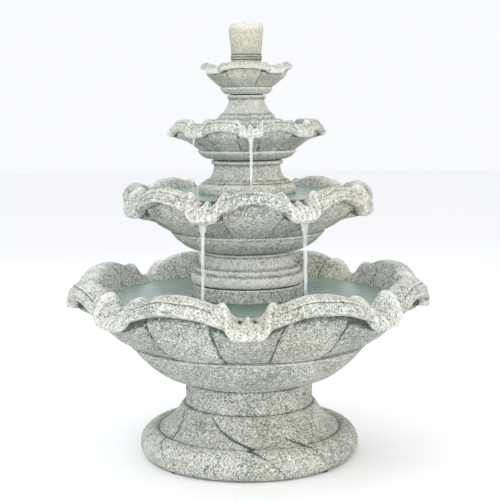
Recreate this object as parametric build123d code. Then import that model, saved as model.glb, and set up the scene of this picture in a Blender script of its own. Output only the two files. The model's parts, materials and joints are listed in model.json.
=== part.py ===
from build123d import *
import math
import os

# A four-tier garden fountain in cast stone. Everything stands on one vertical axis:
# pedestal, basin, pump housing, and then a column and a scalloped bowl three times over,
# with a finial that the water wells out of. A pump in the housing feeds a riser pipe that
# is cut at each bowl, where a fitting seals it, so that each tier lifts off the one below.
# Origin: centre of the foot, on the ground. +Z is up and the first spout looks along -Y.
# Units: millimetres and degrees.

# Fits
SEAL_THICKNESS = 3.0  # rubber ring under each stone
SEAL_INSET = 4.0  # how far a ring stays inside the stone's edge
SEAT_CLEARANCE = 2.0  # radial gap between a stone's spigot and its seat
SPIGOT_DEPTH = 12.0
SLIP_CLEARANCE = 0.1  # radial gap where a pipe, stem or rotor slips or turns
FIXED_CLEARANCE = 0.05  # radial gap where a pipe, washer or bung stays put

# Pedestal
PEDESTAL_HEIGHT = 222.0
FOOT_RADIUS = 315.0
FOOT_HEIGHT = 77.0
FOOT_BASE_RADIUS = 300.0
FOOT_SHOULDER = 20.0
FOOT_GROOVE_RADIUS = 262.0
COVE_DEPTH = 12.0
SHANK_RADIUS = 183.0
SHANK_START = 150.0
SHANK_STEP = 5.0
PEDESTAL_WALL = 26.0
CORD_ARCH_WIDTH = 44.0
CORD_ARCH_HEIGHT = 40.0
PAD_COUNT = 4
PAD_THICKNESS = 4.0
PAD_INSET = 1.0  # how far a pad stays inside the foot's wall

# Pump housing
HOUSING_RADIUS = 157.0
HOUSING_WALL = 22.0
HOUSING_HEIGHT = 240.0
INLET_COUNT = 4
INLET_WIDTH = 56.0
INLET_HEIGHT = 48.0

# Columns. The bore takes the pipe, its fitting and the spigot of the bowl above.
COLUMN_BORE = 30.0
BEAD_SHOULDER = 4.0  # how far a standing column's top edge is outside its neck
LOWER_COLUMN_HOLLOW = 84.0
LOWER_COLUMN_CAP = 34.0
LOWER_COLUMN = {"height": 91.0, "torus": HOUSING_RADIUS + 5.0, "torus_height": 36.0, "ring": 149.0,
                "ring_height": 13.0, "neck": 118.0, "bead": 123.0, "bead_height": 9.0}
MIDDLE_COLUMN = {"plinth": 126.0, "sunk": 126.0, "torus": 138.0, "torus_height": 34.0,
                 "ring": 118.0, "ring_height": 6.0, "neck": 93.0, "neck_height": 45.0,
                 "bead": 101.0, "bead_height": 12.0}
UPPER_COLUMN = {"plinth": 78.0, "sunk": 60.0, "torus": 89.0, "torus_height": 27.0,
                "ring": 75.0, "ring_height": 13.0, "neck": 50.0, "neck_height": 44.0,
                "bead": 57.0, "bead_height": 9.0}

# Finial
FINIAL_FOOT_RADIUS = 43.0
FINIAL_SUNK = 74.0
FINIAL_BAND = 7.0
FINIAL_TOP_RADIUS = 48.0
FINIAL_BODY_HEIGHT = 62.0
FINIAL_CROWN_HEIGHT = 25.0
FINIAL_CROWN_RADIUS = 43.0
CUP_RADIUS = 31.0
CUP_DEPTH = 18.0

# Riser pipe and the fittings that carry it through the bowls
PIPE_RADIUS = 9.0
PIPE_WALL = 1.6
SOCKET_DEPTH = 22.0
SOCKET_END_GAP = 0.5
FITTING_TAIL = 4.0  # how far a fitting reaches below its nut
FITTING_WALL = 3.4
FLANGE_WIDTH = 5.5
FLANGE_THICKNESS = 4.0
NUT_THICKNESS = 8.0
NUT_WALL = 3.0
NUT_POCKET_CLEARANCE = 2.1
WASHER_THICKNESS = 2.0
HOLE_CLEARANCE = 0.5
JET_LENGTH = 30.0
JET_COLLAR = 14.0  # stone left around the jet below the cup
JET_RISE = 6.0

# Pump
PUMP_WIDTH = 78.0
PUMP_HEIGHT = 84.0
MOTOR_LENGTH = 72.0
CHAMBER_LENGTH = 30.0
CHAMBER_RADIUS = 32.0
CHAMBER_WALL = 3.0
INTAKE_LENGTH = 30.0
INTAKE_WALL = 2.5
INTAKE_SLOTS = 7
SLOT_WIDTH = 3.0
SUCTION_CUP_RADIUS = 12.0
SUCTION_CUP_HEIGHT = 9.0
OUTLET_LENGTH = 26.0
ROTOR_RADIUS = 13.0
ROTOR_CLEARANCE = 0.6
ROTOR_LENGTH = 52.0
BLADE_COUNT = 6
BLADE_RADIUS = 21.0
BLADE_THICKNESS = 2.0
BLADE_WIDTH = 12.0
BLADE_DISC = 2.0
SHAFT_RADIUS = 1.5
BUSH_RADIUS = 4.5
BUSH_LENGTH = 6.0
DIAL_RADIUS = 20.0
DIAL_THICKNESS = 3.0
DIAL_GAP = 0.4
DIAL_STEM_RADIUS = 3.0
DIAL_STEM_LENGTH = 8.0
DIAL_GRIP_HEIGHT = 6.0
DIAL_GRIP_WIDTH = 4.0
GLAND_RADIUS = 7.0
GLAND_LENGTH = 16.0
GLAND_BORE = 3.6
GLAND_SUNK = 6.0

# Openings through the basin floor
DRAIN_RADIUS = 14.0
DRAIN_OFFSET = 88.0
DRAIN_TAPER = 0.06  # radius lost per unit of depth
DRAIN_GAP = 0.3
DRAIN_HEAD_RADIUS = 21.0
DRAIN_HEAD_HEIGHT = 6.0
DRAIN_PULL_HEIGHT = 16.0
DRAIN_PULL_WIDTH = 20.0
DRAIN_PULL_THICKNESS = 5.0
CORD_HOLE_RADIUS = 14.0
CORD_HOLE_OFFSET = 112.0
CORD_STOPPER_LIP = 5.0
CORD_STOPPER_BORE = 3.6

# The bowls. Each is a skin that rises from the base, rolls over the rim and comes down to
# the floor. A station is (lobe radius, lobe height, spout radius, spout height, sharpness):
# between two spouts the skin passes through the lobe point, at a spout through the spout
# point, and sharpness says how narrow the spout is there. Heights are above the base.
ROUND = 1.0
BOWL_OVERHANG = 1.0
BASIN = {
    "spouts": 8, "first_spout": 0.0, "base": SHANK_RADIUS, "floor_radius": 212.0, "floor": 27.0,
    "stations": [
        (228, 11, 228, 11, ROUND), (270, 38, 270, 38, ROUND), (300, 64, 300, 64, ROUND),
        (323, 86, 323, 86, ROUND), (335, 104, 335, 104, ROUND), (352, 116, 352, 116, ROUND),
        (372, 134, 374, 134, 1.5), (405, 163, 418, 166, 1.5), (440, 192, 462, 190, 1.8),
        (480, 228, 494, 203, 2.0), (508, 254, 511, 207, 2.2), (515, 266, 515, 216, 2.2),
        (507, 288, 500, 230, 2.6), (478, 309, 472, 243, 4.0), (447, 303, 445, 248, 4.5),
        (418, 276, 420, 245, 4.0), (392, 238, 394, 228, 2.0), (364, 190, 364, 190, ROUND),
        (332, 132, 332, 132, ROUND), (288, 76, 288, 76, ROUND), (248, 40, 248, 40, ROUND),
    ],
}
LARGE_BOWL = {
    "spouts": 8, "first_spout": 25.5, "base": LOWER_COLUMN["neck"],
    "floor_radius": 150.0, "floor": 28.0,
    "stations": [
        (157, 5, 157, 5, ROUND), (190, 24, 190, 24, ROUND), (210, 42, 210, 42, ROUND),
        (214, 54, 214, 54, ROUND), (240, 70, 242, 70, 1.5), (262, 84, 270, 86, 1.5),
        (288, 101, 302, 97, 1.8), (318, 124, 332, 105, 2.0), (343, 144, 352, 109, 2.2),
        (353, 154, 362, 118, 2.2), (348, 173, 354, 132, 2.6), (325, 192, 330, 148, 4.0),
        (303, 189, 308, 158, 4.5), (288, 172, 291, 159, 4.0), (269, 150, 270, 146, 2.0),
        (242, 112, 242, 112, ROUND), (210, 74, 210, 74, ROUND), (178, 43, 178, 43, ROUND),
    ],
}
MEDIUM_BOWL = {
    "spouts": 8, "first_spout": 3.0, "base": MIDDLE_COLUMN["bead"] + BOWL_OVERHANG,
    "floor_radius": 100.0, "floor": 22.0,
    "stations": [
        (120, 6, 120, 6, ROUND), (132, 15, 132, 15, ROUND), (137, 26, 137, 26, ROUND),
        (147, 36, 148, 37, 1.5), (160, 46, 166, 48, 1.5), (176, 56, 184, 56, 1.8),
        (191, 66, 204, 62, 2.0), (205, 76, 217, 66, 2.2), (211, 83, 222, 74, 2.2),
        (207, 98, 217, 83, 2.6), (196, 112, 203, 92, 4.0), (185, 110, 191, 97, 4.5),
        (176, 99, 180, 96, 4.0), (164, 83, 166, 81, 2.0), (147, 57, 147, 57, ROUND),
        (125, 33, 125, 33, ROUND),
    ],
}
SMALL_BOWL = {
    "spouts": 4, "first_spout": 42.0, "base": UPPER_COLUMN["bead"] + BOWL_OVERHANG,
    "floor_radius": 56.0, "floor": 18.0,
    "stations": [
        (66, 9, 66, 9, ROUND), (72, 19, 72, 19, ROUND), (80, 27, 82, 29, 1.5),
        (91, 37, 97, 41, 2.2), (104, 48, 113, 50, 3.0), (116, 59, 123, 54, 3.6),
        (127, 67, 130, 60, 4.0), (130, 75, 131, 66, 4.0), (125, 84, 127, 73, 5.0),
        (116, 87, 118, 77, 8.0), (106, 84, 109, 77, 9.0), (98, 77, 100, 74, 8.0),
        (91, 64, 92, 63, 3.0), (80, 42, 80, 42, ROUND), (66, 25, 66, 25, ROUND),
    ],
}
POINTS_PER_TURN = 96

# Heights of the stack, from the ground up
BASIN_BASE = PEDESTAL_HEIGHT + SEAL_THICKNESS
BASIN_FLOOR = BASIN_BASE + BASIN["floor"]
HOUSING_BASE = BASIN_FLOOR + SEAL_THICKNESS
LOWER_COLUMN_BASE = HOUSING_BASE + HOUSING_HEIGHT + SEAL_THICKNESS
LARGE_BOWL_BASE = LOWER_COLUMN_BASE + LOWER_COLUMN["height"] + SEAL_THICKNESS
LARGE_BOWL_FLOOR = LARGE_BOWL_BASE + LARGE_BOWL["floor"]
MIDDLE_COLUMN_BASE = LARGE_BOWL_FLOOR + SEAL_THICKNESS


def standing_column_height(column):
    """Height of a column that stands in a bowl: the sunk plinth and all its mouldings."""
    parts = ("sunk", "torus_height", "ring_height", "neck_height", "bead_height")
    return sum(column[part] for part in parts)


MEDIUM_BOWL_BASE = MIDDLE_COLUMN_BASE + standing_column_height(MIDDLE_COLUMN) + SEAL_THICKNESS
MEDIUM_BOWL_FLOOR = MEDIUM_BOWL_BASE + MEDIUM_BOWL["floor"]
UPPER_COLUMN_BASE = MEDIUM_BOWL_FLOOR + SEAL_THICKNESS
SMALL_BOWL_BASE = UPPER_COLUMN_BASE + standing_column_height(UPPER_COLUMN) + SEAL_THICKNESS
SMALL_BOWL_FLOOR = SMALL_BOWL_BASE + SMALL_BOWL["floor"]
FINIAL_BASE = SMALL_BOWL_FLOOR + SEAL_THICKNESS
FINIAL_TOP = (FINIAL_BASE + FINIAL_SUNK + 2 * FINIAL_BAND + FINIAL_BODY_HEIGHT
              + FINIAL_CROWN_HEIGHT)

SPIGOT_RADIUS = COLUMN_BORE - SEAT_CLEARANCE
FITTING_RADIUS = PIPE_RADIUS + SLIP_CLEARANCE + FITTING_WALL
FLANGE_RADIUS = FITTING_RADIUS + FLANGE_WIDTH
NUT_FLAT_RADIUS = FITTING_RADIUS + NUT_WALL
NUT_POCKET_RADIUS = NUT_FLAT_RADIUS / math.cos(math.pi / 6) + NUT_POCKET_CLEARANCE
PIPE_BORE = PIPE_RADIUS - PIPE_WALL
JET_BOTTOM = FINIAL_TOP - CUP_DEPTH - JET_LENGTH
PUMP_BASE = BASIN_FLOOR + SUCTION_CUP_HEIGHT
PUMP_AXIS_HEIGHT = PUMP_BASE + PUMP_HEIGHT / 2
OUTLET_TOP = PUMP_AXIS_HEIGHT + CHAMBER_RADIUS + OUTLET_LENGTH


def turned(start, *steps):
    """Turns an outline of (radius, height) about Z. A step is the next corner, or a pair
    (through, end) for an arc, and the outline closes with a straight line."""
    edges = []
    here = start
    for step in steps:
        if isinstance(step[0], tuple):
            through, end = step
            edges.append(ThreePointArc(*((r, 0, z) for r, z in (here, through, end))))
        else:
            end = step
            edges.append(Line((here[0], 0, here[1]), (end[0], 0, end[1])))
        here = end
    edges.append(Line((here[0], 0, here[1]), (start[0], 0, start[1])))
    return revolve(make_face(edges), Axis.Z)


def tube(outer, inner, low, high):
    """A plain ring or pipe about Z."""
    return turned((inner, low), (outer, low), (outer, high), (inner, high))


def rod(radius, low, high, x=0.0, y=0.0):
    """A cylinder along Z between two heights."""
    middle = Pos(x, y, (low + high) / 2)
    return middle * Cylinder(radius, high - low)


def rod_along_y(radius, front, back, height):
    """A cylinder along Y on the pump's axis, between two Y positions."""
    middle = Pos(0, (front + back) / 2, height) * Rot(90, 0, 0)
    return middle * Cylinder(radius, back - front)


def block(x, y, z):
    """A box from its (low, high) ranges."""
    middle = Pos(sum(x) / 2, sum(y) / 2, sum(z) / 2)
    return middle * Box(x[1] - x[0], y[1] - y[0], z[1] - z[0])


# Bowls


def skin_ring(bowl, station, base):
    """One closed curve of a bowl's skin, all the way round."""
    lobe_radius, lobe_height, spout_radius, spout_height, sharpness = station
    count = bowl["spouts"]
    points = []
    for step in range(POINTS_PER_TURN):
        angle = 2 * math.pi * step / POINTS_PER_TURN
        share = ((1 + math.cos(count * angle)) / 2) ** sharpness
        radius = lobe_radius + share * (spout_radius - lobe_radius)
        height = base + lobe_height + share * (spout_height - lobe_height)
        turn = angle + math.radians(bowl["first_spout"])
        points.append((radius * math.sin(turn), -radius * math.cos(turn), height))
    return Wire([Edge.make_spline([Vector(*p) for p in points], periodic=True)])


def bowl_skin(bowl, base):
    """The scalloped body of a bowl, before its holes and spigot."""
    bottom = (bowl["base"], 0, bowl["base"], 0, ROUND)
    top = (bowl["floor_radius"], bowl["floor"], bowl["floor_radius"], bowl["floor"], ROUND)
    stations = [bottom, *bowl["stations"], top]
    rings = [skin_ring(bowl, station, base) for station in reversed(stations)]
    return Solid.make_loft(rings, ruled=True)


def tier_bowl(bowl, base):
    """A bowl that stands on a column and carries the pipe: a spigot below, a boss above that
    the next column fits over, and a stepped hole for the fitting and its nut."""
    floor = base + bowl["floor"]
    body = bowl_skin(bowl, base)
    body += rod(SPIGOT_RADIUS, base - SPIGOT_DEPTH, base + FLANGE_THICKNESS)
    body += rod(SPIGOT_RADIUS, floor - FLANGE_THICKNESS, floor + SPIGOT_DEPTH)
    body -= rod(FITTING_RADIUS + HOLE_CLEARANCE, base - SPIGOT_DEPTH, floor + SPIGOT_DEPTH)
    body -= rod(NUT_POCKET_RADIUS, base - 2 * SPIGOT_DEPTH, base)
    body -= rod(NUT_POCKET_RADIUS, floor, floor + 2 * SPIGOT_DEPTH)
    return body


def basin():
    """The bottom bowl, with a spigot into the pedestal, a drain hole and a cord hole."""
    spigot = SHANK_RADIUS - PEDESTAL_WALL - SEAT_CLEARANCE
    body = bowl_skin(BASIN, BASIN_BASE)
    body += rod(spigot, BASIN_BASE - SPIGOT_DEPTH, BASIN_BASE + BASIN["floor"] / 2)
    body -= rod(CORD_HOLE_RADIUS, 0, BASIN_FLOOR + 1, y=CORD_HOLE_OFFSET)
    return body - drain_taper(BASIN_BASE - SPIGOT_DEPTH, DRAIN_RADIUS)


def drain_taper(low, top_radius):
    """The taper shared by the drain plug and its hole, up to the basin's floor."""
    length = BASIN_FLOOR - low
    taper = Cone(top_radius - length * DRAIN_TAPER, top_radius, length)
    return Pos(-DRAIN_OFFSET, 0, (low + BASIN_FLOOR) / 2) * taper


# Pedestal, housing and columns


def pedestal():
    """Foot, cove and shank in one hollow casting, with an arch at the back for a cord."""
    base = PAD_THICKNESS
    inner_foot = FOOT_BASE_RADIUS - PEDESTAL_WALL
    inner_shank = SHANK_RADIUS - PEDESTAL_WALL
    cove_low = (FOOT_GROOVE_RADIUS, FOOT_HEIGHT)
    cove_high = (SHANK_RADIUS + SHANK_STEP, SHANK_START)
    cove_middle = ((cove_low[0] + cove_high[0]) / 2 - COVE_DEPTH,
                   (cove_low[1] + cove_high[1]) / 2 - COVE_DEPTH / 2)
    shoulder = (FOOT_GROOVE_RADIUS + FOOT_SHOULDER, FOOT_HEIGHT + 5)
    body = turned(
        (inner_foot, base), (FOOT_BASE_RADIUS, base),
        ((FOOT_RADIUS, FOOT_HEIGHT / 2), shoulder), (FOOT_GROOVE_RADIUS, FOOT_HEIGHT + 5),
        cove_low, (cove_middle, cove_high),
        (SHANK_RADIUS, SHANK_START + SHANK_STEP), (SHANK_RADIUS, PEDESTAL_HEIGHT),
        (inner_shank, PEDESTAL_HEIGHT), (inner_shank, SHANK_START - PEDESTAL_WALL),
        (inner_foot, FOOT_HEIGHT - PEDESTAL_WALL),
    )
    half = CORD_ARCH_WIDTH / 2
    spring = base + CORD_ARCH_HEIGHT - half
    legs = block((-half, half), (0, 2 * FOOT_RADIUS), (0, spring))
    crown = Pos(0, FOOT_RADIUS, spring) * Rot(90, 0, 0) * Cylinder(half, 2 * FOOT_RADIUS)
    return body - legs - crown


def foot_pads():
    """Rubber pads under the wall of the foot."""
    middle = FOOT_BASE_RADIUS - PEDESTAL_WALL / 2
    pad = rod(PEDESTAL_WALL / 2 - PAD_INSET, 0, PAD_THICKNESS, x=middle)
    return [Rot(0, 0, 360 * (index + 0.5) / PAD_COUNT) * pad for index in range(PAD_COUNT)]


def pump_housing():
    """A plain drum over the pump, with arched inlets at its foot."""
    inner = HOUSING_RADIUS - HOUSING_WALL
    body = tube(HOUSING_RADIUS, inner, HOUSING_BASE, HOUSING_BASE + HOUSING_HEIGHT)
    half = INLET_WIDTH / 2
    spring = HOUSING_BASE + INLET_HEIGHT - half
    for index in range(INLET_COUNT):
        turn = Rot(0, 0, 360 * index / INLET_COUNT)
        legs = block((-half, half), (0, 2 * HOUSING_RADIUS), (HOUSING_BASE - 1, spring))
        crown = Pos(0, HOUSING_RADIUS, spring) * Rot(90, 0, 0) * Cylinder(half, 2 * HOUSING_RADIUS)
        body -= turn * (legs + crown)
    return body


def lower_column():
    """Torus, ring and neck that carry the large bowl, with a spigot into the housing."""
    c = LOWER_COLUMN
    base = LOWER_COLUMN_BASE
    top = base + c["height"]
    torus_top = base + c["torus_height"]
    ring_top = torus_top + c["ring_height"]
    bead_base = top - c["bead_height"]
    spigot = HOUSING_RADIUS - HOUSING_WALL - SEAT_CLEARANCE
    shoulder = c["torus"] - 6
    return turned(
        (LOWER_COLUMN_HOLLOW, base - SPIGOT_DEPTH), (spigot, base - SPIGOT_DEPTH), (spigot, base),
        (shoulder, base), ((c["torus"], base + c["torus_height"] / 2), (shoulder, torus_top)),
        (c["ring"], torus_top),
        ((c["ring"] + 3, torus_top + c["ring_height"] / 2), (c["ring"] - 6, ring_top)),
        ((c["neck"] + 8, (ring_top + bead_base) / 2), (c["neck"], bead_base)),
        ((c["bead"], bead_base + c["bead_height"] / 2), (c["neck"], top)),
        (COLUMN_BORE, top), (COLUMN_BORE, top - LOWER_COLUMN_CAP),
        (LOWER_COLUMN_HOLLOW, top - LOWER_COLUMN_CAP),
    )


def standing_column(c, base):
    """A column that stands in a bowl: plinth under the water, torus, ring, cove and bead."""
    torus_base = base + c["sunk"]
    torus_top = torus_base + c["torus_height"]
    ring_top = torus_top + c["ring_height"]
    bead_base = ring_top + c["neck_height"]
    top = bead_base + c["bead_height"]
    shoulder = c["torus"] - 7
    cove = (c["neck"] + (c["ring"] - c["neck"]) * 0.22, ring_top + c["neck_height"] * 0.45)
    return turned(
        (COLUMN_BORE, base), (c["plinth"], base), (c["plinth"], torus_base),
        (shoulder, torus_base),
        ((c["torus"], torus_base + c["torus_height"] / 2), (shoulder, torus_top)),
        (c["ring"] + 3, torus_top), (c["ring"] + 3, torus_top + c["ring_height"] / 2),
        (c["ring"], ring_top), (cove, (c["neck"], bead_base)),
        ((c["bead"], bead_base + c["bead_height"] / 2), (c["neck"] + BEAD_SHOULDER, top)),
        (COLUMN_BORE, top),
    )


def finial():
    """A tapered drum with two bands at its foot and a shallow cup in its crown."""
    band_base = FINIAL_BASE + FINIAL_SUNK
    band_top = band_base + 2 * FINIAL_BAND
    collar = band_top + FINIAL_BODY_HEIGHT
    cup_floor = FINIAL_TOP - CUP_DEPTH
    jet_seat = cup_floor - JET_COLLAR
    return turned(
        (COLUMN_BORE, FINIAL_BASE), (FINIAL_FOOT_RADIUS, FINIAL_BASE),
        (FINIAL_FOOT_RADIUS, band_base),
        ((FINIAL_FOOT_RADIUS + 3, band_base + FINIAL_BAND / 2),
         (FINIAL_FOOT_RADIUS, band_base + FINIAL_BAND)),
        ((FINIAL_FOOT_RADIUS + 3, band_base + FINIAL_BAND * 1.5),
         (FINIAL_FOOT_RADIUS, band_top)),
        (FINIAL_TOP_RADIUS, collar),
        ((FINIAL_TOP_RADIUS + 1, collar + FINIAL_CROWN_HEIGHT / 3),
         (FINIAL_CROWN_RADIUS, FINIAL_TOP)),
        (CUP_RADIUS, FINIAL_TOP), (CUP_RADIUS, cup_floor),
        (FITTING_RADIUS + HOLE_CLEARANCE, cup_floor),
        (FITTING_RADIUS + HOLE_CLEARANCE, jet_seat), (COLUMN_BORE, jet_seat),
    )


# Pipe run


def fitting_ends(base, thickness):
    """Bottom and top of the fitting that passes through a bowl's floor."""
    bottom = base - NUT_THICKNESS - FITTING_TAIL
    top = base + thickness + WASHER_THICKNESS + SOCKET_DEPTH
    return bottom, top


def fitting(base, thickness):
    """A flanged tube through a bowl's floor, with a pipe socket at each end."""
    bottom, top = fitting_ends(base, thickness)
    flange_base = base + thickness + WASHER_THICKNESS
    flange_top = flange_base + FLANGE_THICKNESS
    lower_socket = PIPE_RADIUS + SLIP_CLEARANCE
    upper_socket = PIPE_RADIUS + FIXED_CLEARANCE
    return turned(
        (lower_socket, bottom), (FITTING_RADIUS, bottom), (FITTING_RADIUS, flange_base),
        (FLANGE_RADIUS, flange_base), (FLANGE_RADIUS, flange_top),
        (FITTING_RADIUS, flange_top), (FITTING_RADIUS, top),
        (upper_socket, top), (upper_socket, top - SOCKET_DEPTH),
        (PIPE_BORE, top - SOCKET_DEPTH), (PIPE_BORE, bottom + SOCKET_DEPTH),
        (lower_socket, bottom + SOCKET_DEPTH),
    )


def washer(base, thickness):
    """Rubber washer under the flange of a fitting."""
    floor = base + thickness
    return tube(FLANGE_RADIUS, FITTING_RADIUS + FIXED_CLEARANCE, floor, floor + WASHER_THICKNESS)


def nut(base):
    """Hexagonal nut that pulls a fitting down onto the underside of its bowl."""
    hexagon = RegularPolygon(NUT_FLAT_RADIUS, 6, major_radius=False)
    body = Pos(0, 0, base - NUT_THICKNESS) * extrude(hexagon, NUT_THICKNESS)
    return body - rod(FITTING_RADIUS + FIXED_CLEARANCE, base - 2 * NUT_THICKNESS, base + 1)


def riser(carrier_top, receiver_bottom):
    """Pipe from the socket that carries it up into the socket that slips over it."""
    low = carrier_top - SOCKET_DEPTH + SOCKET_END_GAP
    high = receiver_bottom + SOCKET_DEPTH - SOCKET_END_GAP
    return tube(PIPE_RADIUS, PIPE_BORE, low, high)


def jet():
    """The nozzle in the finial: a flanged tube that the last pipe slips into."""
    cup_floor = FINIAL_TOP - CUP_DEPTH
    socket_top = JET_BOTTOM + SOCKET_DEPTH
    socket = PIPE_RADIUS + SLIP_CLEARANCE
    return turned(
        (socket, JET_BOTTOM), (FITTING_RADIUS, JET_BOTTOM), (FITTING_RADIUS, cup_floor),
        (FLANGE_RADIUS, cup_floor), (FLANGE_RADIUS, cup_floor + WASHER_THICKNESS),
        (FITTING_RADIUS, cup_floor + JET_RISE), (PIPE_BORE, cup_floor + JET_RISE),
        (PIPE_BORE, socket_top), (socket, socket_top),
    )


def seal(outer, inner, low):
    """A flat rubber ring under a stone."""
    return tube(outer - SEAL_INSET, inner + SEAL_INSET, low, low + SEAL_THICKNESS)


# Pump. Its shaft lies along Y; the impeller turns on the fountain's axis.

CHAMBER_FRONT = -CHAMBER_LENGTH / 2
CHAMBER_BACK = CHAMBER_LENGTH / 2
MOTOR_BACK = CHAMBER_BACK + MOTOR_LENGTH
INTAKE_FRONT = CHAMBER_FRONT - INTAKE_LENGTH
ROTOR_BORE = ROTOR_RADIUS + ROTOR_CLEARANCE
WELL_BACK = CHAMBER_BACK + ROTOR_LENGTH + ROTOR_CLEARANCE
FRONT_BUSH = CHAMBER_FRONT + 1
GLAND_OFFSET = MOTOR_BACK - 18
PUMP_X = (-PUMP_WIDTH / 2, PUMP_WIDTH / 2)
PUMP_Z = (PUMP_BASE, PUMP_BASE + PUMP_HEIGHT)


def pump_motor():
    """Sealed motor block with a blind well for the magnet rotor and feet sockets below."""
    body = block(PUMP_X, (CHAMBER_BACK, MOTOR_BACK), PUMP_Z)
    body = fillet(body.edges().filter_by(Axis.Y), 8)
    body -= rod_along_y(ROTOR_BORE, CHAMBER_BACK - 1, WELL_BACK, PUMP_AXIS_HEIGHT)
    body -= rod_along_y(BUSH_RADIUS, WELL_BACK - 1, WELL_BACK + BUSH_LENGTH, PUMP_AXIS_HEIGHT)
    return body - rod(GLAND_RADIUS, PUMP_Z[1] - GLAND_SUNK, PUMP_Z[1] + 1, y=GLAND_OFFSET)


def pump_chamber():
    """Round impeller chamber with the outlet pipe rising from its top."""
    axis = PUMP_AXIS_HEIGHT
    shell = rod_along_y(CHAMBER_RADIUS, CHAMBER_FRONT, CHAMBER_BACK, axis)
    shell += rod(FITTING_RADIUS, axis, OUTLET_TOP)
    shell -= rod_along_y(CHAMBER_RADIUS - CHAMBER_WALL, CHAMBER_FRONT + CHAMBER_WALL,
                         CHAMBER_BACK + 1, axis)
    shell -= rod_along_y(DIAL_RADIUS / 2, CHAMBER_FRONT - 1, CHAMBER_BACK, axis)
    shell -= rod(PIPE_BORE, axis, OUTLET_TOP + 1)
    shell -= rod(PIPE_RADIUS + FIXED_CLEARANCE, OUTLET_TOP - SOCKET_DEPTH, OUTLET_TOP + 1)
    spider = block((-DIAL_RADIUS / 2 - 1, DIAL_RADIUS / 2 + 1),
                   (CHAMBER_FRONT, CHAMBER_FRONT + CHAMBER_WALL), (axis - 3, axis + 3))
    hub = rod_along_y(BUSH_RADIUS + 2, CHAMBER_FRONT, CHAMBER_FRONT + BUSH_LENGTH + 1, axis)
    bush_seat = rod_along_y(BUSH_RADIUS, FRONT_BUSH, FRONT_BUSH + BUSH_LENGTH + 1, axis)
    return shell + spider + hub - bush_seat


def impeller():
    """Magnet rotor, disc and straight blades in one piece, bored for the shaft."""
    axis = PUMP_AXIS_HEIGHT
    blade_back = CHAMBER_BACK - ROTOR_CLEARANCE
    blade_front = blade_back - BLADE_DISC - BLADE_WIDTH
    body = rod_along_y(ROTOR_RADIUS, blade_back - BLADE_DISC, CHAMBER_BACK + ROTOR_LENGTH, axis)
    body += rod_along_y(BLADE_RADIUS, blade_back - BLADE_DISC, blade_back, axis)
    body += rod_along_y(BUSH_RADIUS, blade_front, blade_back, axis)
    half = BLADE_THICKNESS / 2
    for index in range(BLADE_COUNT):
        blade = block((-half, half), (blade_front, blade_back), (0, BLADE_RADIUS))
        body += Pos(0, 0, axis) * Rot(0, 360 * index / BLADE_COUNT, 0) * blade
    return body - rod_along_y(SHAFT_RADIUS + FIXED_CLEARANCE, blade_front - 1,
                              CHAMBER_BACK + ROTOR_LENGTH + 1, axis)


def shaft_bush(front):
    """Rubber bush that holds one end of the shaft."""
    axis = PUMP_AXIS_HEIGHT
    body = rod_along_y(BUSH_RADIUS, front, front + BUSH_LENGTH, axis)
    return body - rod_along_y(SHAFT_RADIUS, front - 1, front + BUSH_LENGTH + 1, axis)


def pump_intake():
    """Slotted strainer over the chamber's mouth."""
    axis = PUMP_AXIS_HEIGHT
    wall = INTAKE_WALL
    body = block(PUMP_X, (INTAKE_FRONT, CHAMBER_FRONT), PUMP_Z)
    body = fillet(body.edges().filter_by(Axis.Y), 8)
    body -= block((PUMP_X[0] + wall, PUMP_X[1] - wall), (INTAKE_FRONT + wall, CHAMBER_FRONT + 1),
                  (PUMP_Z[0] + wall, PUMP_Z[1] - wall))
    pitch = PUMP_WIDTH / (INTAKE_SLOTS + 1)
    reach = PUMP_HEIGHT / 2 - 14
    for index in range(INTAKE_SLOTS):
        x = PUMP_X[0] + pitch * (index + 1)
        slot = block((x - SLOT_WIDTH / 2, x + SLOT_WIDTH / 2),
                     (INTAKE_FRONT - 1, INTAKE_FRONT + 2 * wall), (axis - reach, axis + reach))
        body -= slot
    boss = rod_along_y(2 * DIAL_STEM_RADIUS, INTAKE_FRONT, INTAKE_FRONT + DIAL_STEM_LENGTH, axis)
    stem_hole = rod_along_y(DIAL_STEM_RADIUS + SLIP_CLEARANCE, INTAKE_FRONT - 1,
                            INTAKE_FRONT + DIAL_STEM_LENGTH + 1, axis)
    return body + boss - stem_hole


def flow_dial():
    """Disc with a finger grip that turns on the strainer to cover part of its slots."""
    axis = PUMP_AXIS_HEIGHT
    back = INTAKE_FRONT - DIAL_GAP
    front = back - DIAL_THICKNESS
    body = rod_along_y(DIAL_RADIUS, front, back, axis)
    body -= block((2, DIAL_RADIUS), (front - 1, back + 1), (axis + 6, axis + DIAL_RADIUS))
    body -= block((-DIAL_RADIUS, -2), (front - 1, back + 1), (axis - DIAL_RADIUS, axis - 6))
    body += rod_along_y(DIAL_STEM_RADIUS, front, INTAKE_FRONT + DIAL_STEM_LENGTH - 1, axis)
    grip = block((-DIAL_GRIP_WIDTH / 2, DIAL_GRIP_WIDTH / 2), (front - DIAL_GRIP_HEIGHT, front),
                 (axis - DIAL_RADIUS * 0.7, axis + DIAL_RADIUS * 0.7))
    return body + grip


def suction_cups():
    """Four rubber cups under the motor and the strainer."""
    x = PUMP_WIDTH / 2 - SUCTION_CUP_RADIUS
    cup = turned(
        (0, 3), (SUCTION_CUP_RADIUS * 0.8, 0), (SUCTION_CUP_RADIUS, 0),
        (SUCTION_CUP_RADIUS * 0.45, 5), (SUCTION_CUP_RADIUS * 0.45, SUCTION_CUP_HEIGHT),
        (0, SUCTION_CUP_HEIGHT),
    )
    cups = []
    for y in (INTAKE_FRONT + SUCTION_CUP_RADIUS, MOTOR_BACK - SUCTION_CUP_RADIUS):
        for side in (-x, x):
            cups.append(Pos(side, y, BASIN_FLOOR) * cup)
    return cups


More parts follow.
